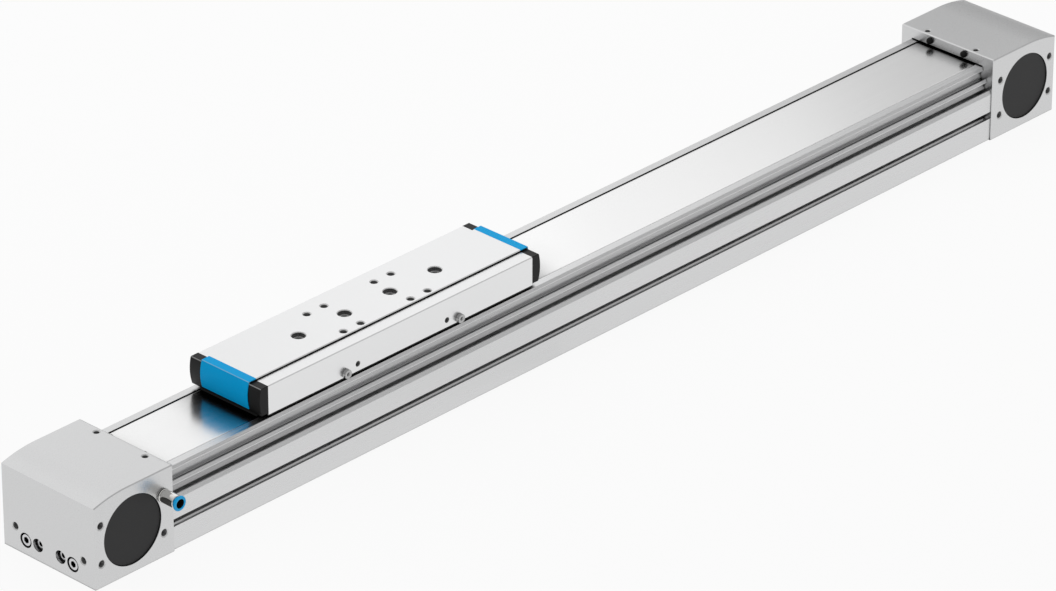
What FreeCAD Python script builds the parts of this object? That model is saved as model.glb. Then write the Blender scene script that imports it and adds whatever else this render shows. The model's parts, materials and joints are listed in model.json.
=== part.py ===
# Toothed belt linear axis: a covered extruded profile with a drive housing at each end,
# and a slide that an internal toothed belt pulls along a ball guide.
# Millimetres. +X runs along the axis, +Z is up, and the origin is at mid-length on the bottom face.
import FreeCAD, Part
import math
import os
from FreeCAD import Vector

# Overall sizes
profile_length = 762.0
head_length = 65.0
head_width = 82.0
head_height = 60.4
slide_length = 232.7
slide_width = 61.9
slide_rest_x = -174.7

# Clearances
fit_gap = 0.05        # pieces that fit in one another and don't move apart
mesh_gap = 0.1        # belt against pulley and clamp
running_gap = 0.3     # pieces that move past each other
flush_gap = 0.2       # screw heads and fittings in their recesses

# Belt and pulley, with trapezoid teeth
belt_pitch = 5.0
belt_width = 25.0
belt_back = 1.0
tooth_height = 1.2
tooth_tip_width = 1.8
tooth_root_width = 2.65
pulley_teeth = 18
pitch_line_height = 0.42
pulley_offset = 34.0
pulley_z = 29.4
pulley_side_gap = 0.5
pulley_flange = 0.9
hub_bore_radius = 7.5

# Bearings and the bore that they sit in
bearing_bore_radius = 12.5
bearing_outer_radius = 21.0
bearing_width = 9.0
bearing_shoulder_y = 25.5
inner_ring_radius = 16.4
retaining_ring_width = 1.75
retaining_ring_depth = 1.1
retaining_ring_lip = 2.6
retaining_ring_opening_deg = 40.0

# Housing
head_end_height = 56.2
crown_radius = 95.0
head_edge = 0.6
inner_bevel = (1.0, 0.4)   # at the top edge that faces the slide: along, and down
head_step = 1.2       # how far the housing stands out past the profile's side
chamber_gap = 0.8
cover_radius = 23.5
cover_thickness = 3.0
cover_recess = 0.9
cover_edge = 0.4
side_hole_radius = 2.5
side_hole_depth = 7.5
side_hole_spacing_x = 51.4
side_hole_spacing_z = 26.2
hole_chamfer = 0.5
foot_hole_y = 30.1
foot_hole_z = 16.5
foot_hole_depth = 12.0

# Screws through the housing into the profile: place, shank, head and sink below the end face
end_screw = {"y": 20.8, "shank": 2.5, "head": 4.25, "head_length": 5.0, "sink": 0.3, "recess": 5.0}
deep_screw = {"y": 10.0, "shank": 2.0, "head": 3.5, "head_length": 4.0, "sink": 3.4, "recess": 4.4}
end_screw_gap = 1.9    # between the end screws and the pulley's hubs
deep_screw_wall = 0.6  # between the deep screws and the belt's return channel
screw_engagement = 16.0
hex_ratio = 0.56      # socket across its corners, as a share of the head's width
socket_ratio = 0.55   # socket depth, as a share of the head's length

# Profile section
lip_top_z = 52.5
lip_outer_y = 31.5
bevel_slope = 0.357   # how far the ledges' bevels lean out, for each unit of height
bevel_land = 0.5      # upright edge under a bevel
lip_bevel_height = 2.18
lip_undercut = (2.98, 2.3)
neck_slope = (1.25, 3.67)
neck_step = (0.9, 0.75)
rib_lip_y = 35.1
rib_lip_z = 44.6
rib_lip_width = 0.9
rib_bevel_height = 2.02
rib_undercut = (3.02, 2.33)
rib_neck = (1.2, 2.75)
upper_gutter = (2.5, 5.0)
body_top_z = 37.4
body_lip_width = 0.9
body_bevel_height = 2.8
lower_gutter_depth = 5.9
base_edge = 0.8
chamber_side_gap = 5.5
chamber_top_z = 48.0
strip_ledge = 3.3     # how far the strip's edge rests on the profile
web_thickness = 3.0

# T-slots on the sides and underneath
t_slot_opening = 5.2
t_slot_lip = 1.8
t_slot_width = 11.0
t_slot_depth = 5.6
t_slot_corner = 1.4
side_slot_z = 18.9
base_slot_y = 20.0

# Hollow along each lower corner of the profile
corner_hollow = {"wall": 3.0, "width": 8.8, "z0": 3.0, "z1": 10.5}

# Cover strip
strip_width = 50.6
strip_thickness = 0.3
strip_drop = 0.5      # strip's top below the lips' top
strip_gap = 0.2
strip_groove = (0.8, 1.2)   # width beside the strip, and depth below it
strip_lift_z = 58.4
strip_flat_half = 74.0
strip_lift_end = 112.0
strip_grip = 9.5
entry_rise = 0.8      # height above the lips of the slot where the strip goes into a housing
clamp_pad = {"u0": 2.0, "u1": 8.6, "inset": 0.5, "width": 5.6}
set_screw = {"u": 4.4, "inset": 3.8, "radius": 2.0, "sink": 2.4}

# Rubber end buffers
buffer_radius = 2.3
buffer_inset = 10.3   # from the cover strip's edge
buffer_z = 56.6
buffer_reach = 3.2
buffer_grip = 6.0

# Push-in fitting for air, in the near side of the left housing
fitting_radius = 4.4
fitting_length = 12.0
fitting_socket_depth = 9.0
fitting_air_radius = 1.2
fitting_edge = 0.5
tube_radius = 3.05
release_sleeve_radius = 3.7
release_sleeve_length = 6.0
release_flange_radius = 5.0
release_flange_width = 1.6
release_travel = 1.0
release_gap = 1.2

# Guide rail and runner blocks
rail_width = 15.0
rail_height = 12.5
rail_seat = 0.5
rail_groove_depth = 1.6
rail_groove_half = 2.4
rail_groove_z = 7.4
rail_end_gap = 1.0
runner_centre = 42.0
runner_length = 42.0
runner_cap_length = 8.0
runner_height = 24.0
runner_body_half = 13.5
runner_flange_half = 21.5
runner_flange_height = 7.0
runner_clearance = 3.4
runner_cap_inset = 0.6

# Slide
slide_bottom_z = 53.8
slide_side_z = 74.4
pad_z = 75.8
pad_width = 41.4
slide_edge = 0.5
pad_groove = 1.2      # depth of the groove under the pad's edge
tunnel_side_gap = 0.7
tunnel_top_z = 64.0
foot_side_gap = 1.5
foot_half_length = 75.0
base_plate_half = 72.0
base_plate_z = 53.3
tongue_reach = 106.0
tongue_top_z = 51.1
centring_radius = 4.5
centring_depth = 3.0   # of the counterbores, which have a thread below
centring_x = (20.0, 60.0)
thread_radius = 2.5
thread_depth = 9.0
thread_x = (22.0, 37.0)
thread_y = 16.15
lug_hole = {"x": 39.3, "z": 59.4, "radius": 2.0, "depth": 4.0}
nipple = {"x": 50.0, "z": 57.0, "radius": 3.0, "reach": 2.6, "edge": 0.3}
nipple_funnel = {"mouth": 1.3, "neck": 0.5, "depth": 1.2}

# Belt clamps under the slide's tongues
clamp_reach = (78.0, 104.0)
clamp_height = 5.0
clamp_belt_gap = 0.4

# End caps, their clips and the strip wipers
cap_bottom_z = 55.3
cap_ridge = 6.0
cap_bulge = 7.4
cap_bulge_z = 65.5
cap_toe = 5.6
cap_pad_z = 75.2
clip_thickness = 0.7
clip_bottom_z = 57.0
wiper_inset = 0.3
wiper_reach = (-3.0, 4.6)

# Values worked out from the sizes above
head_x = profile_length / 2
pulley_x = head_x + pulley_offset
pitch_radius = belt_pitch * pulley_teeth / (2 * math.pi)
pulley_tip_radius = pitch_radius - pitch_line_height
land_radius = pulley_tip_radius + mesh_gap
back_radius = land_radius + belt_back
pulley_chamber = back_radius + chamber_gap
belt_half = belt_width / 2
channel_half = belt_half + chamber_gap
pulley_half = belt_half + pulley_side_gap
wrap_length = math.pi * pitch_radius
strand_length = 2 * pulley_x
side_y = head_width / 2 - head_step
strip_half = strip_width / 2
strip_seat_z = lip_top_z - strip_drop - strip_thickness
strip_top_z = strip_seat_z + strip_thickness
entry_top_z = lip_top_z + entry_rise
clamp_pad["top_z"] = entry_top_z - strip_gap
channel_floor_z = pulley_z - back_radius - chamber_gap
channel_top_z = pulley_z - land_radius + tooth_height + chamber_gap
deep_screw["z"] = channel_floor_z - deep_screw_wall - deep_screw["shank"]
floor_z = channel_top_z + web_thickness
rail_z = floor_z - rail_seat
rail_top_z = rail_z + rail_height
runner_top_z = rail_z + runner_height
belt_back_z = pulley_z + back_radius
belt_land_z = pulley_z + land_radius
clamp_end = clamp_reach[0] - belt_pitch / 2
slot_half_width = strip_half - strip_ledge
foot_half_width = slot_half_width - foot_side_gap
tunnel_half_width = strip_half + tunnel_side_gap
chamber_half_width = runner_flange_half + chamber_side_gap
hub_radius = pulley_tip_radius + pulley_flange
end_screw["z"] = pulley_z - hub_radius - end_screw_gap - end_screw["shank"]
buffer_y = strip_half - buffer_inset
fitting_x = -head_x - pulley_offset + side_hole_spacing_x / 2
fitting_z = pulley_z + side_hole_spacing_z / 2


# Small helpers

def block(x0, x1, y0, y1, z0, z1):
    """A box between two corners."""
    return Part.makeBox(x1 - x0, y1 - y0, z1 - z0, Vector(x0, y0, z0))


def rod(radius, start, end):
    """A cylinder from one point to another."""
    axis = end - start
    return Part.makeCylinder(radius, axis.Length, start, axis)


def cone(radius_0, radius_1, start, end):
    """A cone frustum from one point to another."""
    axis = end - start
    return Part.makeCone(radius_0, radius_1, axis.Length, start, axis)


def hole(radius, chamfer, mouth, inward):
    """A round hole's tool, with a chamfered mouth. inward runs from the mouth to the hole's floor."""
    step = Vector(inward).normalize() * chamfer
    return rod(radius, mouth, mouth + inward).fuse(cone(radius + chamfer, radius, mouth, mouth + step))


def prism_x(points, x0, x1):
    """A closed outline in Y and Z, carried along X."""
    face = Part.Face(Part.makePolygon([Vector(x0, y, z) for y, z in points + points[:1]]))
    return face.extrude(Vector(x1 - x0, 0, 0))


def prism_y(edges, half_width):
    """A closed chain of edges in X and Z at y = 0, carried both ways along Y."""
    face = Part.Face(Part.Wire(edges))
    face.translate(Vector(0, -half_width, 0))
    return face.extrude(Vector(0, 2 * half_width, 0))


def flat(x, z):
    """A point in the plane y = 0."""
    return Vector(x, 0, z)


def line(start, end):
    """A straight edge."""
    return Part.LineSegment(start, end).toShape()


def arc(start, middle, end):
    """A round edge through three points."""
    return Part.Arc(start, middle, end).toShape()


def chain(points):
    """Straight edges from point to point."""
    return [line(a, b) for a, b in zip(points, points[1:])]


def other_side(shape):
    """The same shape on the far side of the middle plane."""
    return shape.mirror(Vector(0, 0, 0), Vector(0, 1, 0))


def both_sides(shape):
    """A shape and its twin on the far side."""
    return [shape, other_side(shape)]


def turned(shape):
    """The same shape at the axis's other end, turned half round."""
    copy = shape.copy()
    copy.rotate(Vector(0, 0, 0), Vector(0, 0, 1), 180)
    return copy


def at_slide(shape):
    """A shape moved from the middle to where the slide rests."""
    copy = shape.copy()
    copy.translate(Vector(slide_rest_x, 0, 0))
    return copy


def signs():
    """The four corners of a rectangle."""
    return [(sx, sy) for sx in (-1, 1) for sy in (-1, 1)]


def save(name, *shapes):
    """Writes one sub-part: one solid, or a group of like solids."""
    solid = shapes[0] if len(shapes) == 1 else Part.makeCompound(list(shapes))
    solid.exportStep(os.path.join("parts", name + ".step"))


# The profile

def t_slot_outline():
    """Half-section of a T-slot as (across, depth) points, from the mouth's edge to the floor and back."""
    mouth = t_slot_opening / 2
    half = t_slot_width / 2
    near = [(mouth, 0), (mouth, t_slot_lip), (half, t_slot_lip), (half, t_slot_depth - t_slot_corner)]
    floor = half - t_slot_corner
    left = [(-across, depth) for across, depth in near]
    return left + [(-floor, t_slot_depth), (floor, t_slot_depth)] + near[::-1]


def profile_half_outline():
    """The section's outline for y > 0, from the middle of the base up and round to the rail's seat."""
    base_slot = [(base_slot_y + across, depth) for across, depth in t_slot_outline()]
    side_slot = [(side_y - depth, side_slot_z + across) for across, depth in t_slot_outline()]
    lip_y, lip_z = lip_outer_y + bevel_slope * lip_bevel_height, lip_top_z - lip_bevel_height
    neck_y, neck_z = lip_y - lip_undercut[0], lip_z - bevel_land - lip_undercut[1]
    foot_y, foot_z = neck_y + neck_slope[0], neck_z - neck_slope[1]
    step_y, step_z = foot_y + neck_step[0], foot_z - neck_step[1]
    rib_y, rib_z = rib_lip_y + bevel_slope * rib_bevel_height, rib_lip_z - rib_bevel_height
    rib_neck_y, rib_neck_z = rib_y - rib_undercut[0], rib_z - bevel_land - rib_undercut[1]
    gutter_y = rib_neck_y + rib_neck[0]
    gutter_z = body_top_z - lower_gutter_depth
    rib_inner_y = rib_lip_y - rib_lip_width
    body_lip_y = side_y - bevel_slope * body_bevel_height
    groove_y, groove_z = strip_half + strip_groove[0], strip_seat_z - strip_groove[1]
    return (
        base_slot
        + [(side_y - base_edge, 0), (side_y, base_edge)]
        + side_slot
        + [(side_y, body_top_z - body_bevel_height), (body_lip_y, body_top_z)]
        + [(body_lip_y - body_lip_width, body_top_z), (body_lip_y - body_lip_width, gutter_z)]
        + [(gutter_y, gutter_z), (gutter_y, rib_neck_z - rib_neck[1]), (rib_neck_y, rib_neck_z)]
        + [(rib_y, rib_z - bevel_land), (rib_y, rib_z), (rib_lip_y, rib_lip_z)]
        + [(rib_inner_y, rib_lip_z), (rib_inner_y, rib_lip_z - upper_gutter[0])]
        + [(step_y, rib_lip_z - upper_gutter[1]), (step_y, step_z), (foot_y, step_z)]
        + [(foot_y, foot_z), (neck_y, neck_z)]
        + [(lip_y, lip_z - bevel_land), (lip_y, lip_z), (lip_outer_y, lip_top_z)]
        + [(groove_y, lip_top_z), (groove_y, groove_z), (strip_half, groove_z)]
        + [(strip_half, strip_seat_z), (slot_half_width, strip_seat_z)]
        + [(slot_half_width, chamber_top_z), (chamber_half_width, chamber_top_z)]
        + [(chamber_half_width, floor_z), (rail_width / 2 + fit_gap, floor_z)]
        + [(rail_width / 2 + fit_gap, rail_z)]
    )


def profile():
    """The extrusion: stepped sides with gutters, T-slots, the guide chamber and the belt's return channel."""
    half = profile_half_outline()
    outline = half + [(-y, z) for y, z in half[::-1]]
    solid = prism_x(outline, -head_x, head_x)
    cuts = [block(-head_x, head_x, -channel_half, channel_half, channel_floor_z, channel_top_z)]
    hollow = corner_hollow
    outer = side_y - hollow["wall"]
    cuts += both_sides(block(-head_x, head_x, outer - hollow["width"], outer, hollow["z0"], hollow["z1"]))
    for screw in (end_screw, deep_screw):
        start = Vector(-head_x, screw["y"], screw["z"])
        cuts += both_sides(rod(screw["shank"] + fit_gap, start, start + Vector(profile_length, 0, 0)))
    return solid.cut(cuts)


def guide_rail():
    """The steel rail, with a ball groove along each side."""
    half = rail_width / 2
    low = rail_z + rail_groove_z - rail_groove_half
    high = rail_z + rail_groove_z + rail_groove_half
    groove = [(half, low), (half - rail_groove_depth, rail_z + rail_groove_z), (half, high)]
    right = [(half, rail_z)] + groove + [(half, rail_top_z)]
    outline = right + [(-y, z) for y, z in right[::-1]]
    return prism_x(outline, -head_x + rail_end_gap, head_x - rail_end_gap)


# The housing and what it holds, at the right end

def housing_block():
    """The housing's outer form: a block whose top falls away in an arc to the outer end."""
    end_x = head_x + head_length
    drop = head_height - head_end_height
    run = math.sqrt(crown_radius ** 2 - (crown_radius - drop) ** 2)
    half_turn = math.asin(run / crown_radius) / 2
    crown_x = end_x - run
    middle = flat(crown_x + crown_radius * math.sin(half_turn),
                  head_height - crown_radius * (1 - math.cos(half_turn)))
    crown = arc(flat(end_x, head_end_height), middle, flat(crown_x, head_height))
    bevel_along, bevel_down = inner_bevel
    bevel = [flat(head_x + bevel_along, head_height), flat(head_x, head_height - bevel_down)]
    sides = [flat(crown_x, head_height)] + bevel + [flat(head_x, 0), flat(end_x, 0)]
    edges = [crown] + chain(sides + [flat(end_x, head_end_height)])
    solid = prism_y(edges, head_width / 2)
    rim = [edge for edge in solid.Edges if abs(abs(edge.CenterOfMass.y) - head_width / 2) < fit_gap]
    return solid.makeChamfer(head_edge, rim)


def side_hole_places():
    """The four holes round the pulley's axis, as x and z."""
    half_x = side_hole_spacing_x / 2
    half_z = side_hole_spacing_z / 2
    return [(pulley_x + sx * half_x, pulley_z + sz * half_z) for sx, sz in signs()]


def clamp_pad_reach():
    """Where a strip clamp pad lies across the strip, near the strip's edge."""
    outer = strip_half - clamp_pad["inset"]
    return outer - clamp_pad["width"], outer


def screw_recess(screw):
    """The counterbored way through the housing for one end screw."""
    end_x = head_x + head_length
    depth = screw["sink"] + screw["head_length"]
    mouth = Vector(end_x, screw["y"], screw["z"])
    seat = mouth - Vector(depth, 0, 0)
    through = rod(screw["shank"] + flush_gap, Vector(head_x, screw["y"], screw["z"]), seat)
    return rod(screw["recess"], seat, mouth).fuse(through)


def pulley_bore():
    """The stepped cross bore: pulley chamber, bearing seats, retaining ring grooves and cover recesses."""
    seat_y = head_width / 2 - cover_recess - cover_thickness
    ring_y = bearing_shoulder_y + bearing_width
    ring_end = ring_y + retaining_ring_width
    steps = [
        (pulley_chamber, 0, bearing_shoulder_y),
        (bearing_outer_radius, bearing_shoulder_y, seat_y),
        (bearing_outer_radius + retaining_ring_depth + fit_gap, ring_y, ring_end),
        (cover_radius, seat_y, head_width / 2),
    ]
    tools = []
    for radius, y0, y1 in steps:
        tools += both_sides(rod(radius, Vector(pulley_x, y0, pulley_z), Vector(pulley_x, y1, pulley_z)))
    return tools


def housing():
    """The drive housing at the right end."""
    solid = housing_block()
    half = head_width / 2
    cuts = pulley_bore()
    cuts.append(block(head_x, pulley_x, -channel_half, channel_half,
                      pulley_z - pulley_chamber, pulley_z + pulley_chamber))
    strip_end = head_x + strip_grip + strip_gap
    cuts.append(block(head_x, strip_end, -lip_outer_y, lip_outer_y, strip_seat_z, entry_top_z))
    mouth = Vector(head_x + set_screw["u"], strip_half - set_screw["inset"], head_height)
    down = Vector(0, 0, entry_top_z - head_height)
    cuts += both_sides(hole(set_screw["radius"] + fit_gap, hole_chamfer, mouth, down))
    for x, z in side_hole_places():
        mouth = Vector(x, half, z)
        cuts += both_sides(hole(side_hole_radius, hole_chamfer, mouth, Vector(0, -side_hole_depth, 0)))
    for screw in (end_screw, deep_screw):
        cuts += both_sides(screw_recess(screw))
    mouth = Vector(head_x + head_length, foot_hole_y, foot_hole_z)
    cuts += both_sides(hole(side_hole_radius, hole_chamfer, mouth, Vector(-foot_hole_depth, 0, 0)))
    start = Vector(head_x, buffer_y, buffer_z)
    cuts += both_sides(rod(buffer_radius + fit_gap, start, start + Vector(buffer_grip + fit_gap, 0, 0)))
    return solid.cut(cuts)


def cover_disc():
    """The near cover disc, with a bevelled rim."""
    outer = -head_width / 2 + cover_recess
    inner = outer + cover_thickness
    radius = cover_radius - fit_gap
    bevel = outer + cover_edge
    solid = rod(radius, Vector(pulley_x, bevel, pulley_z), Vector(pulley_x, inner, pulley_z))
    return solid.fuse(cone(radius - cover_edge, radius, Vector(pulley_x, outer, pulley_z),
                           Vector(pulley_x, bevel, pulley_z))).removeSplitter()


def ring_about_pulley(inner, outer, y0, y1):
    """A plain ring on the pulley's axis."""
    start = Vector(pulley_x, y0, pulley_z)
    end = Vector(pulley_x, y1, pulley_z)
    return rod(outer, start, end).cut(rod(inner, start, end))


def bearing_outer():
    """A bearing's outer ring with its shields, on the near side."""
    end_y = -bearing_shoulder_y - bearing_width
    inner = inner_ring_radius + running_gap
    return ring_about_pulley(inner, bearing_outer_radius - fit_gap, end_y, -bearing_shoulder_y)


def bearing_inner():
    """A bearing's inner ring, on the near side."""
    end_y = -bearing_shoulder_y - bearing_width
    return ring_about_pulley(bearing_bore_radius + fit_gap, inner_ring_radius, end_y, -bearing_shoulder_y)


def retaining_ring():
    """The open spring ring that keeps the near bearing in its seat."""
    start_y = -bearing_shoulder_y - bearing_width
    end_y = start_y - retaining_ring_width
    outer = bearing_outer_radius + retaining_ring_depth
    ring = ring_about_pulley(bearing_outer_radius - retaining_ring_lip, outer, end_y, start_y)
    reach = bearing_outer_radius * 2
    spread = reach * math.tan(math.radians(retaining_ring_opening_deg / 2))
    tip = flat(pulley_x, pulley_z)
    corners = [tip, tip + flat(-spread, -reach), tip + flat(spread, -reach), tip]
    wedge = prism_y(chain(corners), head_width / 2)
    return ring.cut(wedge)


def pulley(phase_deg):
    """A toothed pulley shaft. phase_deg turns its first groove from the top towards +X."""
    half_root = tooth_root_width / 2 + mesh_gap
    half_tip = tooth_tip_width / 2 + mesh_gap
    floor_radius = pulley_tip_radius - tooth_height - mesh_gap
    step = 2 * math.pi / pulley_teeth
    edge_turn = math.asin(half_root / pulley_tip_radius)

    def polar(radius, turn, across=0.0):
        x = radius * math.sin(turn) + across * math.cos(turn)
        z = radius * math.cos(turn) - across * math.sin(turn)
        return flat(pulley_x + x, pulley_z + z)

    edges = []
    for tooth in range(pulley_teeth):
        turn = math.radians(phase_deg) + tooth * step
        left = polar(pulley_tip_radius, turn - edge_turn)
        right = polar(pulley_tip_radius, turn + edge_turn)
        floor_left = polar(floor_radius, turn, -half_tip)
        floor_right = polar(floor_radius, turn, half_tip)
        edges += chain([left, floor_left, floor_right, right])
        crest = polar(pulley_tip_radius, turn + step / 2)
        edges.append(arc(right, crest, polar(pulley_tip_radius, turn + step - edge_turn)))
    solid = prism_y(edges, pulley_half)
    hub_end = bearing_shoulder_y
    shaft_end = bearing_shoulder_y + bearing_width + retaining_ring_width
    hubs = []
    for radius, y0, y1 in ((hub_radius, pulley_half, hub_end), (bearing_bore_radius, hub_end, shaft_end)):
        hubs += both_sides(rod(radius, Vector(pulley_x, y0, pulley_z), Vector(pulley_x, y1, pulley_z)))
    bore = rod(hub_bore_radius, Vector(pulley_x, -shaft_end, pulley_z), Vector(pulley_x, shaft_end, pulley_z))
    return solid.fuse(hubs).cut(bore).removeSplitter()


def socket_screw(radius, head_radius, head_length, seat, tip):
    """A hexagon socket screw, from the seat under its head to its tip."""
    along = (tip - seat).normalize()
    top = seat - along * head_length
    solid = rod(radius, seat, tip).fuse(rod(head_radius, top, seat))
    across = Vector(0, 0, 1) if abs(along.z) < 0.5 else Vector(1, 0, 0)
    side = along.cross(across)
    corner_radius = head_radius * hex_ratio
    turns = [math.radians(60 * corner) for corner in range(7)]
    corners = [top + (across * math.cos(t) + side * math.sin(t)) * corner_radius for t in turns]
    socket = Part.Face(Part.makePolygon(corners)).extrude(along * (head_length * socket_ratio))
    return solid.cut(socket).removeSplitter()


def housing_screw(screw):
    """One of the screws that hold the right housing on the profile."""
    seat = Vector(head_x + head_length - screw["sink"] - screw["head_length"], screw["y"], screw["z"])
    tip = Vector(head_x - screw_engagement, screw["y"], screw["z"])
    return socket_screw(screw["shank"], screw["head"], screw["head_length"], seat, tip)


def end_buffer():
    """A rubber buffer with a round nose, facing the slide."""
    nose = Vector(head_x - buffer_reach + buffer_radius, buffer_y, buffer_z)
    solid = rod(buffer_radius, nose, Vector(head_x + buffer_grip, buffer_y, buffer_z))
    return solid.fuse(Part.makeSphere(buffer_radius, nose)).removeSplitter()


def strip_clamp_pad():
    """The pad that a set screw presses on the end of the cover strip."""
    y0, y1 = clamp_pad_reach()
    return block(head_x + clamp_pad["u0"], head_x + clamp_pad["u1"], y0, y1,
                 strip_top_z, clamp_pad["top_z"])


def strip_set_screw():
    """The headless screw above a clamp pad."""
    x = head_x + set_screw["u"]
    y = strip_half - set_screw["inset"]
    low = Vector(x, y, clamp_pad["top_z"])
    high = Vector(x, y, head_height - set_screw["sink"])
    return rod(set_screw["radius"], low, high)


# The toothed belt

def belt_place(s):
    """Point, forward direction and inward direction on the belt's inner face, s along the pitch line.

    s starts at the top of the left pulley and runs round it, back along the bottom, round the right
    pulley and along the top towards the slide. Below zero it runs from the left pulley to the slide.
    """
    bottom = wrap_length + strand_length
    if s <= 0:
        return flat(-pulley_x - s, belt_land_z), flat(-1, 0), flat(0, -1)
    if s < wrap_length:
        turn = s / pitch_radius
        inward = flat(math.sin(turn), -math.cos(turn))
        forward = flat(-math.cos(turn), -math.sin(turn))
        return flat(-pulley_x, pulley_z) - inward * land_radius, forward, inward
    if s <= bottom:
        return flat(-pulley_x + s - wrap_length, pulley_z - land_radius), flat(1, 0), flat(0, 1)
    if s < bottom + wrap_length:
        turn = (s - bottom) / pitch_radius
        inward = flat(-math.sin(turn), math.cos(turn))
        forward = flat(math.cos(turn), math.sin(turn))
        return flat(pulley_x, pulley_z) - inward * land_radius, forward, inward
    return flat(pulley_x - s + bottom + wrap_length, belt_land_z), flat(-1, 0), flat(0, -1)


def belt_ends():
    """The belt's two ends along the pitch line, in the left and the right clamp."""
    left_run = pulley_x + slide_rest_x - clamp_end
    right_run = pulley_x - slide_rest_x - clamp_end
    return -left_run, 2 * wrap_length + strand_length + right_run


def tooth_places():
    """Where the belt's teeth are along the pitch line."""
    first, last = belt_ends()
    start = math.ceil((first + tooth_root_width) / belt_pitch)
    stop = math.floor((last - tooth_root_width) / belt_pitch)
    return [belt_pitch * tooth for tooth in range(start, stop + 1)]


def tooth_corners(s):
    """The four corners of one tooth, in the direction of travel."""
    point, along, inward = belt_place(s)
    tip = point + inward * tooth_height
    half_tip = along * (tooth_tip_width / 2)
    half_root = tooth_root_width / 2
    return [belt_place(s - half_root)[0], tip - half_tip, tip + half_tip, belt_place(s + half_root)[0]]


def belt_back_edges(first, last):
    """The belt's smooth outer face, from its right end back to its left end."""
    low_z = pulley_z - back_radius
    start = belt_place(last)[0]
    end = belt_place(first)[0]
    top_right = flat(pulley_x, belt_back_z)
    low_right = flat(pulley_x, low_z)
    low_left = flat(-pulley_x, low_z)
    top_left = flat(-pulley_x, belt_back_z)
    return [
        line(start, flat(start.x, belt_back_z)),
        line(flat(start.x, belt_back_z), top_right),
        arc(top_right, flat(pulley_x + back_radius, pulley_z), low_right),
        line(low_right, low_left),
        arc(low_left, flat(-pulley_x - back_radius, pulley_z), top_left),
        line(top_left, flat(end.x, belt_back_z)),
        line(flat(end.x, belt_back_z), end),
    ]


def toothed_belt():
    """The belt, from the slide's left clamp round both pulleys to its right clamp."""
    first, last = belt_ends()
    points = [belt_place(first)[0]]
    for s in tooth_places():
        points += tooth_corners(s)
    points.append(belt_place(last)[0])
    return prism_y(chain(points) + belt_back_edges(first, last), belt_half)


def right_pulley_phase():
    """How far the right pulley's first groove is turned from the top to meet the belt's teeth, in degrees."""
    past_top = (2 * wrap_length + strand_length) % belt_pitch
    return math.degrees(past_top / pitch_radius)


# The cover strip

def strip_run(x0, x1):
    """A flat stretch of the cover strip."""
    return block(x0, x1, -strip_half, strip_half, strip_seat_z, strip_top_z)


def lift_edges(z_offset):
    """One face of the lifted strip: a flat top with an S of two arcs at each end, from left to right."""
    rise = strip_lift_z - strip_seat_z
    run = strip_lift_end - strip_flat_half
    radius = (run ** 2 + rise ** 2) / (4 * rise)
    low_radius = radius - z_offset
    high_radius = radius + z_offset
    turn = 2 * math.atan2(rise, run)
    low = flat(strip_lift_end, strip_seat_z + z_offset)
    high = flat(strip_flat_half, strip_lift_z + z_offset)

    def on_low(angle):
        return low + flat(-low_radius * math.sin(angle), low_radius * (1 - math.cos(angle)))

    def on_high(angle):
        return high + flat(high_radius * math.sin(angle), -high_radius * (1 - math.cos(angle)))

    right = [arc(high, on_high(turn / 2), on_high(turn)), arc(on_low(turn), on_low(turn / 2), low)]
    left = [turned(edge) for edge in right[::-1]]
    return left + [line(flat(-strip_flat_half, high.z), high)] + right


def strip_bridge():
    """The stretch of strip that the slide lifts over its base plate."""
    ends = [line(flat(side * strip_lift_end, strip_seat_z), flat(side * strip_lift_end, strip_top_z))
            for side in (-1, 1)]
    edges = Part.sortEdges(lift_edges(0) + lift_edges(strip_thickness) + ends)[0]
    return prism_y(edges, strip_half)


# The push-in fitting

def fitting_body():
    """The nickel body screwed into the left housing, with a socket for the tube."""
    face = Vector(fitting_x, -head_width / 2, fitting_z)
    out = Vector(0, -1, 0)
    end = face + out * fitting_length
    solid = rod(fitting_radius, face, end - out * fitting_edge)
    solid = solid.fuse(cone(fitting_radius, fitting_radius - fitting_edge, end - out * fitting_edge, end))
    shank = rod(side_hole_radius - fit_gap, face - out * (side_hole_depth - flush_gap), face)
    socket = rod(release_sleeve_radius + fit_gap, end - out * release_socket_depth(), end)
    seat = rod(tube_radius, end - out * fitting_socket_depth, end)
    air = rod(fitting_air_radius, face - out * side_hole_depth, end)
    return solid.fuse(shank).cut([socket, seat, air]).removeSplitter()


def release_socket_depth():
    """How deep the release ring's sleeve can go into the fitting."""
    return release_sleeve_length - release_gap + release_travel + running_gap


def release_ring():
    """The blue ring that frees the tube when it is pressed in."""
    end = Vector(fitting_x, -head_width / 2 - fitting_length, fitting_z)
    out = Vector(0, -1, 0)
    flange = end + out * release_gap
    tip = flange + out * release_flange_width
    sleeve_end = flange - out * release_sleeve_length
    solid = rod(release_flange_radius, flange, tip).fuse(rod(release_sleeve_radius, sleeve_end, flange))
    return solid.cut(rod(tube_radius, sleeve_end, tip)).removeSplitter()


# The slide, built about x = 0

def slide_shell():
    """The slide's outer form: a raised pad with undercut edges between two lower strips, hollow below."""
    half = slide_width / 2
    pad_half = pad_width / 2
    right = [
        (tunnel_half_width, slide_bottom_z),
        (half, slide_bottom_z),
        (half, slide_side_z - slide_edge),
        (half - slide_edge, slide_side_z),
        (pad_half - pad_groove, slide_side_z),
        (pad_half - pad_groove, pad_z - slide_edge),
        (pad_half, pad_z - slide_edge),
        (pad_half - slide_edge, pad_z),
    ]
    roof = [(-tunnel_half_width, tunnel_top_z), (tunnel_half_width, tunnel_top_z)]
    outline = right + [(-y, z) for y, z in right[::-1]] + roof
    return prism_x(outline, -slide_length / 2, slide_length / 2)


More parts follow.
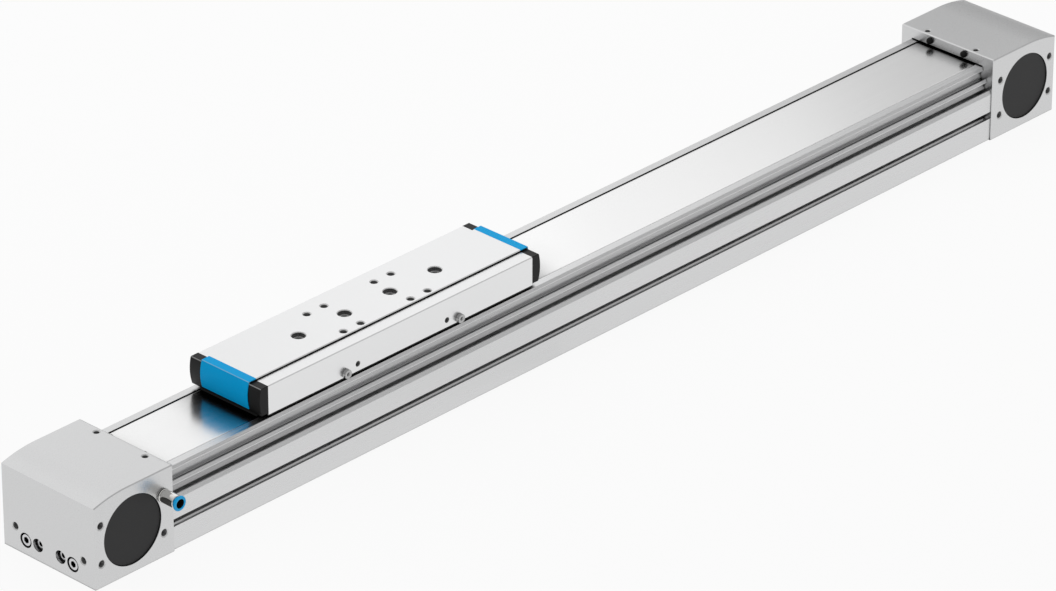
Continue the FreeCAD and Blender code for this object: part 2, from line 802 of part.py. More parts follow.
def slide_foot():
    """The base plate, the foot through the profile's slot and the tongues that carry the belt clamps."""
    plate_top = strip_lift_z - running_gap
    plate = block(-base_plate_half, base_plate_half, -tunnel_half_width, tunnel_half_width,
                  base_plate_z, plate_top)
    foot = block(-foot_half_length, foot_half_length, -foot_half_width, foot_half_width,
                 runner_top_z, base_plate_z)
    tongue = block(foot_half_length, tongue_reach, -foot_half_width, foot_half_width,
                   belt_back_z + mesh_gap, tongue_top_z)
    return plate.fuse([foot, tongue, turned(tongue)])


def slide_hole_tools():
    """Centring holes and threads in the pad, and the holes along both sides."""
    down = Vector(0, 0, -1)
    tools = []
    for x in centring_x:
        for side in (-1, 1):
            mouth = Vector(side * x, 0, pad_z)
            tools.append(hole(centring_radius, hole_chamfer, mouth, down * centring_depth))
            tools.append(rod(thread_radius, mouth, mouth + down * thread_depth))
    for x in thread_x:
        for sx, sy in signs():
            mouth = Vector(sx * x, sy * thread_y, pad_z)
            tools.append(hole(thread_radius, hole_chamfer, mouth, down * thread_depth))
    inward = Vector(0, -lug_hole["depth"], 0)
    for side in (-1, 1):
        mouth = Vector(side * lug_hole["x"], slide_width / 2, lug_hole["z"])
        tools += both_sides(rod(lug_hole["radius"], mouth, mouth + inward))
    return tools


def slide_body():
    """The slide, one piece of aluminium with its foot."""
    return slide_shell().fuse(slide_foot()).removeSplitter().cut(slide_hole_tools())


def grease_nipple(side):
    """A funnel-shaped grease nipple on the slide's near side."""
    out = Vector(0, -1, 0)
    base = Vector(side * nipple["x"], -slide_width / 2, nipple["z"])
    tip = base + out * nipple["reach"]
    edge = tip - out * nipple["edge"]
    solid = rod(nipple["radius"], base, edge)
    solid = solid.fuse(cone(nipple["radius"], nipple["radius"] - nipple["edge"], edge, tip))
    funnel = cone(nipple_funnel["mouth"], nipple_funnel["neck"], tip, tip - out * nipple_funnel["depth"])
    return solid.cut(funnel).removeSplitter()


def runner_outline(inset):
    """A runner's section: a flanged block round the rail, with ridges that run in the rail's grooves."""
    low = rail_z + runner_clearance
    half = rail_width / 2 + running_gap
    middle = rail_z + rail_groove_z
    ridge = rail_groove_half - running_gap
    flange_z = runner_top_z - runner_flange_height
    right = [
        (half, rail_top_z + running_gap),
        (half, middle + ridge),
        (half - rail_groove_depth, middle),
        (half, middle - ridge),
        (half, low + inset),
        (runner_body_half - inset, low + inset),
        (runner_body_half - inset, flange_z + inset),
        (runner_flange_half - inset, flange_z + inset),
        (runner_flange_half - inset, runner_top_z - inset),
    ]
    return right + [(-y, z) for y, z in right[::-1]]


def runner_block(centre):
    """A steel runner block on the rail."""
    return prism_x(runner_outline(0), centre - runner_length / 2, centre + runner_length / 2)


def runner_end_caps(centre):
    """The plastic end caps that turn the balls round at a block's two ends."""
    inner = runner_length / 2
    outline = runner_outline(runner_cap_inset)
    right = prism_x(outline, centre + inner, centre + inner + runner_cap_length)
    left = prism_x(outline, centre - inner - runner_cap_length, centre - inner)
    return [left, right]


def belt_clamp(side):
    """A clamp plate whose grooves hold the belt's teeth. It is built where the slide rests."""
    x0, x1 = sorted(slide_rest_x + side * reach for reach in clamp_reach)
    top = belt_back_z + mesh_gap
    low = belt_land_z - mesh_gap - clamp_height
    channel = belt_half + clamp_belt_gap
    solid = block(x0, x1, -foot_half_width, foot_half_width, low, top)
    cuts = [block(x0, x1, -channel, channel, belt_land_z - mesh_gap, top)]
    half_root = tooth_root_width / 2 + mesh_gap
    half_tip = tooth_tip_width / 2 + mesh_gap
    tip_z = belt_land_z - tooth_height - mesh_gap
    for s in tooth_places():
        centre = belt_place(s)[0]
        if centre.z == belt_land_z and x0 - half_root < centre.x < x1 + half_root:
            corners = [flat(centre.x - half_root, belt_land_z), flat(centre.x - half_tip, tip_z),
                       flat(centre.x + half_tip, tip_z), flat(centre.x + half_root, belt_land_z)]
            cuts.append(prism_y(chain(corners + corners[:1]), channel))
    return solid.cut(cuts)


def cap_edges(low_z, top_z, proud):
    """An end cap's side view with its bulging front, at the right end."""
    back = slide_length / 2
    toe = flat(back + cap_toe + proud, low_z)
    bulge = flat(back + cap_bulge + proud, cap_bulge_z)
    ridge = flat(back + cap_ridge + proud, top_z)
    return [arc(toe, bulge, ridge)] + chain([ridge, flat(back, top_z), flat(back, low_z), toe])


def end_cap():
    """The black cap on the slide's right end, with a raised middle in line with the pad."""
    full = prism_y(cap_edges(cap_bottom_z, slide_side_z, 0), slide_width / 2)
    raised = prism_y(cap_edges(cap_bottom_z, cap_pad_z, 0), pad_width / 2)
    return full.fuse(raised).removeSplitter()


def end_clip():
    """The blue clip that wraps over the right cap's top and front."""
    wrap = prism_y(cap_edges(clip_bottom_z, cap_pad_z + clip_thickness, clip_thickness), pad_width / 2)
    core = prism_y(cap_edges(cap_bottom_z, cap_pad_z + fit_gap, fit_gap), slide_width / 2)
    return wrap.cut(core)


def strip_wiper():
    """The wiper under the right cap, just above the cover strip."""
    x0, x1 = (slide_length / 2 + reach for reach in wiper_reach)
    half = strip_half - wiper_inset
    return block(x0, x1, -half, half, strip_top_z + running_gap, cap_bottom_z)


# Every sub-part, written to its own file

def build_frame():
    """The pieces that stay still."""
    save("profile", profile())
    save("guide_rail", guide_rail())
    save("toothed_belt", toothed_belt())
    left_end = slide_rest_x - strip_lift_end - strip_gap
    right_end = slide_rest_x + strip_lift_end + strip_gap
    save("cover_strip_left", strip_run(-head_x - strip_grip, left_end))
    save("cover_strip_right", strip_run(right_end, head_x + strip_grip))
    save("air_fitting", fitting_body())


def build_heads():
    """The two housings and what they hold."""
    grouped = {
        "drive_housing": [housing()],
        "cover_disc_near": [cover_disc()],
        "cover_disc_far": [other_side(cover_disc())],
        "bearing_near": [bearing_outer()],
        "bearing_far": [other_side(bearing_outer())],
        "retaining_rings": both_sides(retaining_ring()),
        "end_screws": both_sides(housing_screw(end_screw)),
        "deep_screws": both_sides(housing_screw(deep_screw)),
        "end_buffers": both_sides(end_buffer()),
        "strip_clamp_pads": both_sides(strip_clamp_pad()),
        "strip_set_screws": both_sides(strip_set_screw()),
        "bearing_inner_rings": both_sides(bearing_inner()),
    }
    twins = {"cover_disc_near": "cover_disc_far", "cover_disc_far": "cover_disc_near",
             "bearing_near": "bearing_far", "bearing_far": "bearing_near"}
    for name, shapes in grouped.items():
        save(name + "_right", *shapes)
        save(twins.get(name, name) + "_left", *[turned(shape) for shape in shapes])
    save("pulley_right", pulley(right_pulley_phase()))
    save("pulley_left", turned(pulley(0)))


def build_slide():
    """The slide and everything that travels with it."""
    save("slide_body", at_slide(slide_body()))
    save("cover_strip_bridge", at_slide(strip_bridge()))
    nipples = []
    for side in (-1, 1):
        nipples += both_sides(grease_nipple(side))
    save("grease_nipples", *[at_slide(shape) for shape in nipples])
    for name, side in (("left", -1), ("right", 1)):
        save("runner_block_" + name, at_slide(runner_block(side * runner_centre)))
        save("runner_end_caps_" + name, *[at_slide(cap) for cap in runner_end_caps(side * runner_centre)])
        save("belt_clamp_" + name, belt_clamp(side))
    for name, shape in (("end_cap", end_cap()), ("end_clip", end_clip()), ("strip_wiper", strip_wiper())):
        save(name + "_right", at_slide(shape))
        save(name + "_left", at_slide(turned(shape)))


os.makedirs("parts", exist_ok=True)
build_frame()
build_heads()
build_slide()
save("release_ring", release_ring())
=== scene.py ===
"""Looks of a covered linear axis: finishes, turned, threaded and moulded pieces, and a plain studio."""
import json
import math

import bpy
import numpy as np
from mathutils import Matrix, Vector


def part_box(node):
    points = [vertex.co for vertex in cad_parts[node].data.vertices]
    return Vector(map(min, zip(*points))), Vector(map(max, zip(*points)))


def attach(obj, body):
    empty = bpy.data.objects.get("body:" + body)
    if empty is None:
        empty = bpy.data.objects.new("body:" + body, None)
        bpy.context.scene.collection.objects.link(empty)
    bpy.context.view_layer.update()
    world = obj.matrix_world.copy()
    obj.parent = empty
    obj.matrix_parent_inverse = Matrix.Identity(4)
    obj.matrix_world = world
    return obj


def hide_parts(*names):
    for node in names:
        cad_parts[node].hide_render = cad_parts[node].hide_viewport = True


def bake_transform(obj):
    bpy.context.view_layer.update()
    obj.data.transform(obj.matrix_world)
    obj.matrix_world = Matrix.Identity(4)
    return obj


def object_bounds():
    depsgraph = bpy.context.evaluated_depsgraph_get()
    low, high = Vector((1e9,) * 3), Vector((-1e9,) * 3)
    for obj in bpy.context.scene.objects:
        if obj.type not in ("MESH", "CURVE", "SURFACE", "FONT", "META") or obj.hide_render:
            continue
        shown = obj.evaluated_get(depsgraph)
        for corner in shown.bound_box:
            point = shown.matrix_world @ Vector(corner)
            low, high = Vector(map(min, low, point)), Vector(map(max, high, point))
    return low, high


bl_info = {
    "name": "Belt axis looks",
    "version": (1, 0, 0),
    "blender": (4, 5, 0),
    "location": "View3D > Sidebar > Belt axis",
    "description": "Finishes, fine pieces and a studio for a toothed belt linear axis",
    "category": "Object",
}

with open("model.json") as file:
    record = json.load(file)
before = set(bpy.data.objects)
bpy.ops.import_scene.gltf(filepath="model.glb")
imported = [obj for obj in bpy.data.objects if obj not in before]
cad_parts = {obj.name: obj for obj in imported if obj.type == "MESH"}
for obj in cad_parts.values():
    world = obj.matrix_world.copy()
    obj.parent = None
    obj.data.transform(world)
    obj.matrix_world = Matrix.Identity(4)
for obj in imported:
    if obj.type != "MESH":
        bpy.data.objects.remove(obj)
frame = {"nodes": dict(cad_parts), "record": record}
CAD_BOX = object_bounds()
NODES = frame["nodes"]
MOUNTS = {mount["name"]: mount for mount in frame["record"]["mounts"]}
MM = 0.001
TURN = 2 * math.pi
UP = (0.0, 0.0, 1.0)
ENDS = (("left", -1.0), ("right", 1.0))
SIDES = (("near", -1.0), ("far", 1.0))
SKIN = 0.00002      # how far a lining stands off the surface that it covers


def colour(name, words, value):
    """A colour that a user can change."""
    return bpy.props.FloatVectorProperty(name=name, description=words, default=value,
                                         subtype="COLOR", min=0, max=1)


def number(name, words, value, **kind):
    """A number from 0 up that a user can change."""
    return bpy.props.FloatProperty(name=name, description=words, default=value, min=0, **kind)


def length(name, words, millimetres):
    """A length that a user can change."""
    return number(name, words, millimetres * MM, unit="LENGTH")


def fraction(name, words, value):
    """A share that a user can change."""
    return number(name, words, value, max=1, subtype="FACTOR")


def angle(name, words, degrees):
    """An angle that a user can change."""
    return number(name, words, math.radians(degrees), subtype="ANGLE")


class AxisFinish(bpy.types.PropertyGroup):
    """Colours of the finishes."""

    profile: colour("Profile", "Anodised extrusion", (0.67, 0.672, 0.675))
    housing: colour("Housings", "Anodised drive housings", (0.64, 0.642, 0.645))
    slide: colour("Slide", "Pale anodised slide", (0.82, 0.822, 0.825))
    strip: colour("Cover strip", "Brushed stainless strip", (0.86, 0.86, 0.86))
    steel: colour("Steel", "Ground and zinc-plated steel", (0.62, 0.62, 0.63))
    nickel: colour("Nickel", "Plated fitting", (0.78, 0.77, 0.75))
    nipple: colour("Nipples", "Grey plated nipples", (0.42, 0.42, 0.42))
    # painted shade: the colour that grooves, holes and gaps are darkened towards
    shade: colour("Grooves", "Metal deep in grooves and holes", (0.02, 0.02, 0.02))
    cover: colour("Cover discs", "Black moulded discs", (0.02, 0.02, 0.0205))
    cap: colour("End caps", "Black moulded caps", (0.006, 0.006, 0.006))
    accent: colour("Clips", "Blue clips and release ring", (0.0, 0.47, 1.0))
    # painted highlights: pale lines along the caps' and clips' rounded upper edges
    cap_highlight: colour("Worn cap edge", "Burnished upper edge of the caps", (0.30, 0.30, 0.30))
    clip_highlight: colour("Worn clip edge", "Burnished upper edge of the clips", (0.25, 0.62, 0.95))
    # painted shade: the cut threads are darkened to look deep in shade. The countersinks are bright cut
    # metal, lifted further as a painted highlight
    bore: colour("Threads", "Oily metal of the cut threads", (0.14, 0.14, 0.14))
    countersink: colour("Countersinks", "Bright metal of the countersinks", (0.75, 0.75, 0.75))
    # painted shade: the screws' sockets are painted near black
    socket: colour("Sockets", "Dark metal in the screws' sockets", (0.006, 0.006, 0.006))
    # painted shade: the inside of the release ring is painted near black
    ring_bore_shade: colour("Ring bore", "Inside of the release ring", (0.012, 0.008, 0.006))
    oxide: colour("Black steel", "Blackened set screws, pads and rings", (0.05, 0.05, 0.052))
    rubber: colour("Rubber", "Buffers, wipers and lips", (0.008, 0.008, 0.008))
    belt: colour("Belt", "Polyurethane belt", (0.05, 0.05, 0.05))


class AxisDetail(bpy.types.PropertyGroup):
    """Sizes of the fine pieces."""

    pitch: length("Thread pitch", "Distance between a thread's turns", 0.8)
    thread_length: length("Thread length", "How deep a thread is cut", 5.6)
    countersink: length("Countersink", "Width of the countersink at a hole's mouth", 0.5)
    sleeve: length("Sleeve", "How far a lining reaches into the metal round it", 0.15)
    edge: length("Edge", "Rounding of turned edges", 0.3)
    end_shank: length("End screw shank", "Radius of the end screws' shanks", 2.5)
    end_head: length("End screw head", "Height of the end screws' heads", 5.0)
    deep_shank: length("Deep screw shank", "Radius of the deep screws' shanks", 2.0)
    deep_head: length("Deep screw head", "Height of the deep screws' heads", 4.0)
    set_play: length("Set screw play", "Play round a set screw", 0.05)
    head_play: length("Head play", "How much slimmer a screw's head is than its recess", 0.4)
    deep_lift: length("Deep screw lift", "How far the deep screws' heads come out", 1.0)
    disc_bevel: length("Disc bevel", "Bevel round the cover discs", 0.5)
    bore_depth: length("Centring depth", "Depth of the centring bores over their threads", 3.0)
    lug_spread: length("Lug hole spread", "Lug holes from the slide's middle", 39.3)
    lug_height: length("Lug hole height", "Height of the lug holes", 59.4)
    lug_radius: length("Lug hole radius", "Radius of the lug holes", 2.0)
    lug_share: fraction("Lug thread", "Share of a full thread in a lug hole", 0.6)
    top_share: fraction("Set screw thread", "Share of a full thread over a set screw", 0.32)
    # the dark lips are painted shade: they widen the dark gap under the slide
    lip_top: length("Lip top", "Upper edge of the dark lips under the slide's sides", 54.4)
    lip_low: length("Lip foot", "Lower edge of the dark lips", 53.4)
    lip_proud: length("Lip reach", "How far the dark lips stand out", 0.12)
    belt_pitch: length("Belt pitch", "Distance between the belt's teeth", 5.0)
    belt_back: length("Belt back", "Thickness of the belt behind its teeth", 1.0)
    tooth_height: length("Tooth height", "Height of the belt's teeth", 1.2)
    tooth_root: length("Tooth root", "Width of a tooth at its root", 2.15)
    tooth_tip: length("Tooth tip", "Width of a tooth at its tip", 1.3)
    cap_toe: length("Cap toe", "Reach of a cap's lower edge", 5.6)
    cap_ridge: length("Cap ridge", "Reach of a cap's upper edge", 6.0)
    cap_belly: length("Cap belly", "Height at which a cap reaches furthest", 65.5)
    cap_side: length("Cap side", "Height of a cap beside its clip", 74.4)
    cap_round: length("Cap rounding", "Rounding of the caps' and clips' upper edge", 0.5)
    clip_thickness: length("Clip thickness", "Thickness of the blue clips", 0.7)
    collar: length("Fitting collar", "Width of the collar at the fitting's foot", 0.9)
    fitting_bore: length("Fitting bore", "Radius of the fitting's mouth", 3.75)
    fitting_mouth: length("Fitting mouth", "Depth of the fitting's mouth", 6.0)
    fitting_seat: length("Tube seat", "Depth at which the tube rests", 9.0)
    fitting_air: length("Air bore", "Radius of the air bore", 1.2)
    shank: length("Fitting shank", "Radius of the fitting's shank", 2.45)
    tube: length("Tube", "Radius of the tube's bore in the release ring", 3.05)
    ring_sleeve: length("Ring sleeve", "Radius of the release ring's sleeve", 3.7)
    ring_width: length("Ring width", "Width of the release ring's flange", 1.6)
    funnel: length("Nipple funnel", "Radius of a grease nipple's mouth", 1.3)
    funnel_depth: length("Funnel depth", "Depth of a grease nipple's mouth", 1.2)


class AxisStage(bpy.types.PropertyGroup):
    """Floor, light and camera."""

    floor: colour("Floor", "Pale floor", (0.9, 0.9, 0.9))
    floor_glow: fraction("Floor glow", "How much of the floor's white is its own", 0.91)
    floor_size: length("Floor size", "Side of the square floor", 30000.0)
    lamp_level: number("Lamp level", "Scales every lamp", 1.0)
    sky_low: number("Low sky", "Strength of the room's light at the horizon", 0.23)
    sky_high: number("High sky", "Strength of the room's light overhead", 0.58)
    lens: number("Lens", "Focal length on a 36 mm sensor, in millimetres", 223.65)
    azimuth: angle("Azimuth", "Way that the camera faces, from +X to +Y", 43.771)
    drop: angle("Drop", "How far the camera looks down", 28.173)
    eye: bpy.props.FloatVectorProperty(name="Eye", description="Place of the camera", subtype="XYZ",
                                       unit="LENGTH", default=(-2.70488, -2.56252, 2.00848))


# Materials

DRAWN = (40.0, 2500.0, 2500.0)      # grain of drawn metal, long along x
EVEN = (2500.0, 2500.0, 2500.0)     # grain of blasted metal
ROLLED = (2.0, 2500.0, 2.0)         # lines of rolled metal, fine across y
PLAIN = (1.0, 1.0, 1.0)
FINE = 0.00001                      # depth of a smooth grain
COARSE = 0.00002                    # depth of an eroded grain
STRIP_ROUGHNESS = (0.18, 0.26)
STRIP_SHADE_REACH = 0.05                  # how far the painted shade from the slide and the housings reaches on the strip
STRIP_OPEN = (0.5, 0.94)            # how open the room is where the strip is dark, and where it is bright
OPEN_SAMPLES = 16


def new_node(tree, kind, sockets=(), **settings):
    """A shader node with its settings. Each socket takes a value, or a link from another node's socket."""
    made = tree.nodes.new("ShaderNode" + kind)
    for name, value in settings.items():
        setattr(made, name, value)
    for socket, value in dict(sockets).items():
        if isinstance(value, bpy.types.NodeSocket):
            tree.links.new(value, made.inputs[socket])
        else:
            made.inputs[socket].default_value = value
    return made


def spread(tree, value, low, high, start=0.3, stop=0.7):
    """A value between start and stop carried to a range."""
    sockets = {"Value": value, "From Min": start, "From Max": stop, "To Min": low, "To Max": high}
    return new_node(tree, "MapRange", sockets).outputs["Result"]


def blend_base(tree, shader, factor, low=None, high=None):
    """Carries the base colour from low to high by a factor. A colour left out is the base colour so far."""
    base = shader.inputs["Base Color"]
    low, high = [(*end, 1) if end else base.links[0].from_socket for end in (low, high)]
    mix = new_node(tree, "Mix", {"Factor": factor, "A": low, "B": high}, data_type="RGBA")
    tree.links.new(mix.outputs["Result"], base)


def grained(name, middle, swing, rough, metallic, stretch, scale=1.0, detail=2.0):
    """A principled material whose base colour and roughness swing with a noise on Object coordinates.

    Gives the material, its node tree, its shader and the noise's value.
    """
    made = bpy.data.materials.new(name)
    made.use_nodes = True
    tree = made.node_tree
    shader = tree.nodes["Principled BSDF"]
    shader.inputs["Roughness"].default_value = sum(rough) / 2
    shader.inputs["Metallic"].default_value = metallic
    place = new_node(tree, "TexCoord").outputs["Object"]
    place = new_node(tree, "Mapping", {"Vector": place, "Scale": stretch}).outputs["Vector"]
    noise = new_node(tree, "TexNoise", {"Vector": place, "Scale": scale, "Detail": detail}).outputs["Fac"]
    low = [c * (1 - swing) for c in middle]
    blend_base(tree, shader, noise, low, [min(1, c * (1 + swing)) for c in middle])
    tree.links.new(spread(tree, noise, *rough), shader.inputs["Roughness"])
    return made, tree, shader, noise


def relief(tree, shader, value, depth):
    """A faint bump from a noise value."""
    bump = new_node(tree, "Bump", {"Height": value, "Distance": depth, "Strength": 0.3})
    tree.links.new(bump.outputs["Normal"], shader.inputs["Normal"])


def paint_crevice_shade(tree, shader, dark, reach, start=0.3, stop=0.7):
    """Paints shade into the base colour in grooves and holes, where little of the room is open within a
    reach.
    """
    room = new_node(tree, "AmbientOcclusion", {"Distance": reach}, samples=OPEN_SAMPLES)
    blend_base(tree, shader, spread(tree, room.outputs["AO"], 0.0, 1.0, start, stop), low=dark)


def paint_light_and_shade(tree, shader, painted_light_and_shade):
    """Paints highlights and shade: carries the base colour to another one where the mesh's painted light and
    shade attribute is set.
    """
    where = new_node(tree, "Attribute", attribute_name="painted_light_and_shade")
    blend_base(tree, shader, where.outputs["Fac"], high=painted_light_and_shade)


def anodised(name, middle, dark, roughness, reach, stretch=EVEN):
    """Satin anodised aluminium: a fine matt grain, drawn along the extrusion where stretch is uneven."""
    rough = (roughness - 0.04, roughness + 0.04)
    made, tree, shader, fine = grained(name, middle, 0.02, rough, 1.0, stretch)
    paint_crevice_shade(tree, shader, dark, reach)
    relief(tree, shader, fine, FINE)
    return made


def brushed_strip(name, middle, dark):
    """Rolled stainless strip with fine lines along its length, and painted shade close to the slide and the
    housings.
    """
    made, tree, shader, _ = grained(name, middle, 0.05, STRIP_ROUGHNESS, 1.0, ROLLED, detail=3.0)
    paint_crevice_shade(tree, shader, dark, STRIP_SHADE_REACH, *STRIP_OPEN)
    return made


def moulded(name, middle, roughness, depth, specular, painted_light_and_shade=None):
    """Moulded plastic or rubber with an eroded grain, and painted highlights and shade where its mesh
    attribute says so.
    """
    rough = (roughness - 0.05, roughness + 0.05)
    made, tree, shader, pits = grained(name, middle, 0.08, rough, 0.0, PLAIN, 1800.0)
    shader.inputs["Specular IOR Level"].default_value = specular
    relief(tree, shader, pits, depth)
    if painted_light_and_shade:
        paint_light_and_shade(tree, shader, painted_light_and_shade)
    return made


def plated(name, middle, dark, roughness, reach=0.003, painted_light_and_shade=None, metallic=1.0):
    """Plated or ground metal with faint marks, painted shade in its grooves, and painted highlights and shade
    where its mesh attribute says so.
    """
    rough = (roughness * 0.8, roughness * 1.2)
    made, tree, shader, _ = grained(name, middle, 0.03, rough, metallic, PLAIN, 900.0)
    paint_crevice_shade(tree, shader, dark, reach)
    if painted_light_and_shade:
        paint_light_and_shade(tree, shader, painted_light_and_shade)
    return made


def dress(node, made):
    """Gives a CAD node its finish."""
    slots = NODES[node].material_slots
    if not len(slots):
        NODES[node].data.materials.append(made)
    for slot in slots:
        slot.material = made


def both(*names):
    """Nodes' names at the two ends."""
    return [name + "_" + end for name in names for end, _ in ENDS]


# Operators

class AXIS_OT_finish(bpy.types.Operator):
    """Give the CAD pieces their finishes"""

    bl_idname = "axis.finish"
    bl_label = "Finishes"

    def execute(self, context):
        paint = context.scene.axis_finish
        dark = paint.shade
        # Metals: roughness and reach of the grooves' shade. Plastics: roughness, depth of the grain and gloss
        groups = [
            (anodised("profile_anodised", paint.profile, dark, 0.30, 0.0035, DRAWN), ["profile"]),
            (anodised("housing_anodised", paint.housing, dark, 0.30, 0.003), both("drive_housing")),
            (anodised("slide_anodised", paint.slide, dark, 0.32, 0.006), ["slide_body"]),
            (brushed_strip("strip_brushed", paint.strip, dark), ["cover_strip_bridge", *both("cover_strip")]),
            (plated("steel_ground", paint.steel, dark, 0.3),
             ["guide_rail", *both("bearing_near", "bearing_far", "bearing_inner_rings", "runner_block",
                                  "belt_clamp")]),
            (plated("steel_plated", paint.steel, dark, 0.25, 0.0012, paint.socket),
             both("end_screws", "deep_screws")),
            (plated("bore_cut", paint.bore, dark, 0.3, painted_light_and_shade=paint.countersink, metallic=0.5), []),
            (plated("steel_oxide", paint.oxide, dark, 0.4),
             both("strip_clamp_pads", "strip_set_screws", "retaining_rings")),
            (anodised("pulley_anodised", paint.housing, dark, 0.28, 0.003), both("pulley")),
            (plated("nickel_plated", paint.nickel, dark, 0.07), ["air_fitting"]),
            (plated("nipple_plated", paint.nipple, dark, 0.12), ["grease_nipples"]),
            (moulded("cover_moulded", paint.cover, 0.5, COARSE, 0.3),
             both("cover_disc_near", "cover_disc_far")),
            (moulded("cap_moulded", paint.cap, 0.4, COARSE, 0.2, paint.cap_highlight),
             both("end_cap", "runner_end_caps")),
            (moulded("accent_moulded", paint.accent, 0.35, FINE, 0.06, paint.clip_highlight), both("end_clip")),
            (moulded("ring_moulded", paint.accent, 0.3, FINE, 0.3, paint.ring_bore_shade), ["release_ring"]),
            (moulded("rubber_black", paint.rubber, 0.5, COARSE, 0.15), both("end_buffers", "strip_wiper")),
            (moulded("belt_polyurethane", paint.belt, 0.6, COARSE, 0.3), ["toothed_belt"]),
        ]
        for made, nodes in groups:
            for node in nodes:
                dress(node, made)
        missing = [n for n in NODES if not any(n in nodes for made, nodes in groups)]
        if missing:
            raise RuntimeError("no finish for " + ", ".join(missing))
        return {"FINISHED"}


# Surfaces on grids

SHARP = math.radians(32)    # edges that turn more than this are shaded sharp
SCREW_COLUMNS = 48
THREAD_COLUMNS = 32
FINE_COLUMNS = 64
DISC_COLUMNS = 128
ARC_POINTS = 7
EASED = 0.3                 # a rounded edge's middle is this share of the edge away from both faces


def span(node):
    """A node's two corners."""
    low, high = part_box(node)
    return np.array(low), np.array(high)


def skin(grid, ring=False):
    """Points, quads and caps of a closed surface. Columns close round, rows in a ring or with caps."""
    rows, columns = grid.shape[:2]
    index = np.arange(rows * columns).reshape(rows, columns)
    low, high, caps = index, np.roll(index, -1, 0), []
    if not ring:
        low, high, caps = index[:-1], index[1:], [index[0, ::-1], index[-1]]
    quads = np.stack([low, np.roll(low, -1, 1), np.roll(high, -1, 1), high], -1).reshape(-1, 4)
    return grid.reshape(-1, 3), quads, caps


def turned(profile, places, axis, columns=SCREW_COLUMNS, ring=False):
    """One turned surface at each place. The profile's rows give a distance along the axis and a radius.

    point = place + along * axis + radius * (cos(turn) * first + sin(turn) * second), where first and second
    are square to the axis. The profile runs along the axis on the outside. A radius may change with the turn.
    """
    axis = np.array(axis, float)
    first = np.array((1.0, 0.0, 0.0))
    if abs(axis[2]) < 0.5:
        first = np.cross(axis, UP)
    second = np.cross(axis, first)
    turn = np.arange(columns) * (TURN / columns)
    spoke = np.cos(turn)[:, None] * first + np.sin(turn)[:, None] * second
    along = np.stack([np.broadcast_to(row[0], columns) for row in profile])[..., None]
    radius = np.stack([np.broadcast_to(row[1], columns) for row in profile])[..., None]
    return [skin(np.array(place) + along * axis + radius * spoke, ring) for place in places]


def carried(sections, stations, sign):
    """Sections of x and z, or one for all, carried along y to each station, with flat ends.

    point = (sign * x, sign * y, z), so that sign -1 turns the piece half round the upright axis.
    """
    sections = np.broadcast_to(sections, (len(stations), *sections.shape[-2:]))
    across = np.broadcast_to(np.array(stations)[:, None], sections.shape[:2])
    return skin(np.stack([sign * sections[..., 0], sign * across, sections[..., 1]], -1))


def drawn(section, ends):
    """One section of y and z drawn along x between two ends: point = (x, y, z)."""
    return skin(np.stack([np.c_[np.full(len(section), x), section] for x in ends]))


def bent(start, corner, end):
    """A rounded corner: (1 - t)^2 start + 2 t (1 - t) corner + t^2 end."""
    t = np.linspace(0.0, 1.0, ARC_POINTS)[:, None]
    return (1 - t) ** 2 * np.array(start) + 2 * t * (1 - t) * np.array(corner) + t ** 2 * np.array(end)


def circle_through(*points):
    """Middle and radius of a circle by three points: |p|^2 = 2 p . middle + (radius^2 - |middle|^2)."""
    points = np.array(points)
    x, z, rest = np.linalg.solve(np.c_[2 * points, np.ones(3)], (points ** 2).sum(1))
    return x, z, math.sqrt(rest + x * x + z * z)


def painted_rows(skins, columns, *rows):
    """Painted light and shade on like turned surfaces: 1 on these rows of their profile, and 0 elsewhere."""
    wear = np.zeros((len(skins), len(skins[0][0]) // columns, columns))
    for row in rows:
        wear[:, row] = 1.0
    return wear.ravel()


def add(name, skins, finish, nodes, body="frame", painted_light_and_shade=None):
    """One object from closed surfaces, with its finish and the nodes that it stands for."""
    shifts = np.cumsum([0] + [len(points) for points, quads, caps in skins])
    faces = np.concatenate([quads + shift for (points, quads, caps), shift in zip(skins, shifts)]).tolist()
    faces += [(cap + shift).tolist() for (points, quads, caps), shift in zip(skins, shifts) for cap in caps]
    mesh = bpy.data.meshes.new(name)
    mesh.from_pydata(np.concatenate([points for points, quads, caps in skins]).tolist(), [], faces)
    mesh.shade_smooth()
    mesh.set_sharp_from_angle(angle=SHARP)
    mesh.materials.append(bpy.data.materials[finish])
    if painted_light_and_shade is not None:
        mesh.attributes.new("painted_light_and_shade", "FLOAT", "POINT").data.foreach_set("value", painted_light_and_shade.astype(np.float32))
    piece = bpy.data.objects.new(name, mesh)
    bpy.context.scene.collection.objects.link(piece)
    if body:
        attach(piece, body)
    if nodes:
        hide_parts(*nodes)
    return piece


# Cover strip and belt

STRIP_FLAT = 4      # the strip's flat starts this many thicknesses from its edge


class AXIS_OT_strip(bpy.types.Operator):
    """Carry the cover strip's section along its two runs"""

    bl_idname = "axis.strip"
    bl_label = "Cover strip"

    def execute(self, context):
        turn = np.linspace(-TURN / 4, TURN / 4, ARC_POINTS)
        for end, sign in ENDS:
            node = "cover_strip_" + end
            low, high = span(node)
            radius = (high[2] - low[2]) / 2
            flat = high[1] - STRIP_FLAT * (high[2] - low[2])
            rim = np.c_[high[1] - radius + radius * np.cos(turn), low[2] + radius + radius * np.sin(turn)]
            side = np.concatenate([[(flat, low[2])], rim, [(flat, high[2])]])
            section = np.concatenate([side, (low + high)[1:] - side])
            ends = np.array((low[0], high[0]))
            skins = [drawn(section, ends)]
            piece = add(node + "_rolled", skins, "strip_brushed", [node], None)
            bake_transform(piece)
        return {"FINISHED"}


